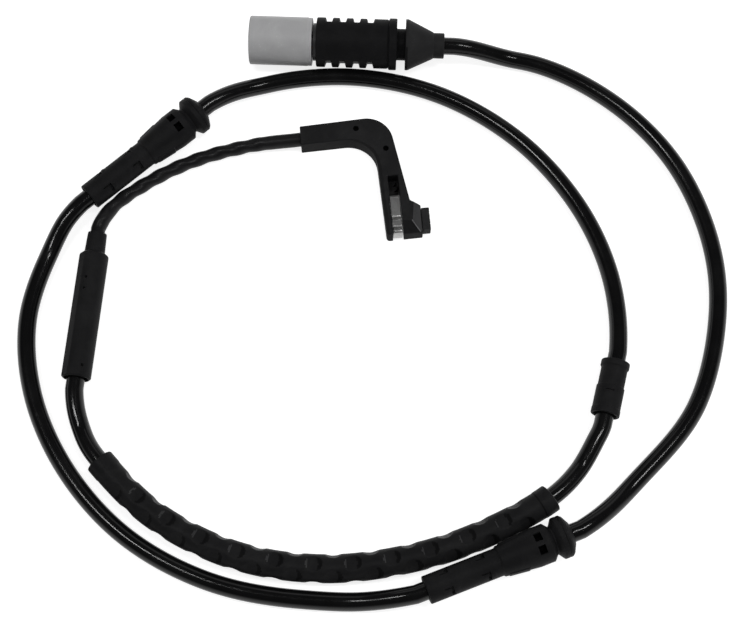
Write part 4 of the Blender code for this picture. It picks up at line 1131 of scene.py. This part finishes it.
PIECE_FINISH = {
    "sensor_body": "head", "wear_tip": "tip", "spring_clip": "steel", "main_cable": "jacket",
    "lead": "sheath", "splice_sleeve": "splice", "protective_sleeve": "sleeve", "cable_bush": "splice",
    "grommet_1": "grommet",
    "grommet_2": "grommet", "connector_boot": "boot", "rear_cap": "cap", "connector_shell": "shell",
    "contact_carrier": "cap", "contact_1": "brass", "contact_2": "brass",
}
NODE_FINISH = {
    "wear_wire": "brass", "splice_crimp_1": "brass", "splice_crimp_2": "brass", "lead_core_1": "core_light",
    "lead_core_2": "core_dark", "cable_core_1": "core_light", "cable_core_2": "core_dark",
    "connector_core_1": "core_light", "connector_core_2": "core_dark", "seal_block": "seal",
}


def refinish(node, finish, wanted):
    """Another finish for the faces of a piece that wanted() picks by their middle in mm and normal."""
    mesh = PIECES[node].data
    mesh.materials.append(finish)
    for face in mesh.polygons:
        if wanted(face.center / MM, face.normal):
            face.material_index = len(mesh.materials) - 1


def dress_details(finishes):
    """Painted light and painted shade on single faces: lighter and darker copies of a piece's finish.

    Painted highlights are on the wedge's right slope and ridge, the boot's cone and the lit walls of the
    sleeve's dimples; painted shade is on the wedge's low slope, the pin marks, the clip's deep start,
    the grommets' windows and the shaded walls of the dimples.
    """
    # Painted light on the wedge's right slope, painted shade on its low slope
    refinish("sensor_body", finishes["lit_facet"], lambda spot, facing: facing.z > 0.85 and facing.x > 0.38)
    refinish("sensor_body", finishes["shaded_low_facet"], lambda spot, facing: facing.z > 0.85 and facing.y < -0.2)
    # Painted highlight along the wedge's ridge
    refinish("sensor_body", finishes["ridge"],
             lambda spot, facing: facing.z > 0.85 and 0.13 < facing.x < 0.38 and facing.y < -0.03)

    def in_pin_mark(spot, facing):
        return any((spot.xy - Vector(mark)).length < 1.02 for mark in PIN_MARKS)

    # Painted shade in the pin marks
    refinish("sensor_body", finishes["hollow"], in_pin_mark)
    # Painted shade on the clip's deep start in the pocket
    deep_start = SLOT_TOP[1] - 5.6
    refinish("spring_clip", finishes["painted_shade_steel"],
             lambda spot, facing: spot.y > deep_start and spot.z < HEAD_THICKNESS - 1.0)
    for node, slim_end, heading in (("grommet_1", GROMMET_1_SLIM_END, GROMMET_1_HEADING),
                                    ("grommet_2", GROMMET_2_SLIM_END, GROMMET_2_HEADING)):
        inward = lying(slim_end, heading, FLANGE_RADIUS).inverted()

        def in_window(spot, facing):
            local = inward @ (spot * MM) / MM
            return abs(local.z - 33.0) < 1.1 and 3.3 < local.xy.length < 5.1

        # Painted shade in the grommets' windows
        refinish(node, finishes["hollow"], in_window)
    # Painted light on the boot's cone and collar end
    refinish("connector_boot", finishes["cone"], lambda spot, facing: spot.x > CONNECTOR_REAR[0] - 11.4)
    first, last, _ = cable_seats["sleeve"]
    stretch = cable_points[first:last + 1]

    def lean(spot, facing):
        """How far a face of the sleeve leans along its run, which only a dimple's wall does."""
        near = min(range(1, len(stretch) - 1), key=lambda i: abs(stretch[i].x - spot.x))
        return facing.dot((stretch[near + 1] - stretch[near - 1]).normalized()) if facing.z > 0.3 else 0.0

    # Painted highlight on the dimple walls that lean one way, painted shade on those that lean the other
    refinish("protective_sleeve", finishes["lit_wall"],
             lambda spot, facing: facing.y > -0.3 and lean(spot, facing) > 0.4)
    refinish("protective_sleeve", finishes["shaded_wall"], lambda spot, facing: lean(spot, facing) < -0.2)


def dress(finishes):
    for node, finish in PIECE_FINISH.items():
        mesh = PIECES[node].data
        mesh.materials.clear()
        mesh.materials.append(finishes[finish])
    dress_details(finishes)
    for node, finish in NODE_FINISH.items():
        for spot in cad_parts[node].material_slots:
            spot.material = finishes[finish]


# Studio


def seen_ray(tree):
    """1 for rays that show the background: from the camera, a gloss or a clear piece."""
    path = add_node(tree, "ShaderNodeLightPath")
    first = add_node(tree, "ShaderNodeMath", operation="MAXIMUM",
                     inputs={0: path.outputs["Is Camera Ray"], 1: path.outputs["Is Glossy Ray"]})
    both = add_node(tree, "ShaderNodeMath", operation="MAXIMUM",
                    inputs={0: first.outputs["Value"], 1: path.outputs["Is Transmission Ray"]})
    return both.outputs["Value"]


def make_world():
    world = bpy.data.worlds.new("studio")
    bpy.context.scene.world = world
    world.use_nodes = True
    tree = world.node_tree
    tree.nodes.clear()
    place = add_node(tree, "ShaderNodeTexCoord").outputs["Generated"]
    parts = add_node(tree, "ShaderNodeSeparateXYZ", {"Vector": place})
    shown = add_node(tree, "ShaderNodeMapRange", {"Value": parts.outputs["Z"], "From Min": 0.08,
                                                  "From Max": 0.4, "To Min": 1.0, "To Max": OVERHEAD})
    strength = add_node(tree, "ShaderNodeMix", data_type="FLOAT",
                        inputs={"Factor": seen_ray(tree), "A": AMBIENT, "B": shown.outputs["Result"]})
    sky = add_node(tree, "ShaderNodeBackground", {"Strength": strength.outputs["Result"]})
    sky.inputs["Color"].default_value = (1.0, 1.0, 1.0, 1.0)
    out = add_node(tree, "ShaderNodeOutputWorld")
    tree.links.new(sky.outputs["Background"], out.inputs["Surface"])


def make_floor():
    mesh = basic_mesh("floor", bmesh.ops.create_grid, x_segments=4, y_segments=4, size=1.6)
    floor = new_object("floor", mesh)
    floor.location = (0.0, 0.0, -0.02 * MM)
    made = bpy.data.materials.new("pale_floor")
    made.use_nodes = True
    tree = made.node_tree
    tree.nodes.clear()
    matte = add_node(tree, "ShaderNodeBsdfDiffuse", {"Color": (0.5, 0.5, 0.5, 1.0)})
    glow = add_node(tree, "ShaderNodeMath", operation="MULTIPLY", inputs={0: seen_ray(tree), 1: FLOOR_GLOW})
    light = add_node(tree, "ShaderNodeEmission", {"Strength": glow.outputs["Value"]})
    both = add_node(tree, "ShaderNodeAddShader")
    tree.links.new(matte.outputs["BSDF"], both.inputs[0])
    tree.links.new(light.outputs["Emission"], both.inputs[1])
    out = add_node(tree, "ShaderNodeOutputMaterial")
    tree.links.new(both.outputs["Shader"], out.inputs["Surface"])
    mesh.materials.append(made)


def make_softbox(name, place, size, power):
    data = bpy.data.lights.new(name, "AREA")
    data.shape = "RECTANGLE"
    data.size = size[0]
    data.size_y = size[1]
    data.energy = power
    lamp = new_object(name, data)
    lamp.location = Vector(place)
    aim = Vector((0.0, -0.04, 0.0)) - lamp.location
    lamp.rotation_euler = aim.to_track_quat("-Z", "Y").to_euler()
    return lamp


def make_lights():
    make_softbox("right_softbox", (0.34, -0.06, 0.98), (0.05, 0.3), 1.7)
    make_softbox("left_softbox", (-0.34, -0.06, 0.98), (0.05, 0.3), 1.7)
    make_softbox("back_window", (0.0, 1.1, 0.9), (1.2, 0.5), 1.2)
    soft_side = make_softbox("soft_side", (1.0, 0.0, 0.6), (0.5, 0.5), 4.0)
    soft_side.visible_glossy = False


GROUPS = {}
PIECES = {}

make_camera()
cable, cable_points, cable_seats = make_cable()
lead, lead_points = make_lead()

splice = make_splice()
sleeve = make_sleeve(cable_points, cable_seats)
bush = make_bush()
grommets = [make_grommet("grommet_1", GROMMET_1_SLIM_END, GROMMET_1_HEADING),
            make_grommet("grommet_2", GROMMET_2_SLIM_END, GROMMET_2_HEADING)]
boot = make_boot()
cap = make_cap()
shell = make_shell()
carrier = make_carrier()
make_contacts()
make_head()
make_tip()
make_clip()
dress(make_finishes())

make_world()
make_floor()
make_lights()
bpy.context.scene.view_settings.view_transform = "Standard"
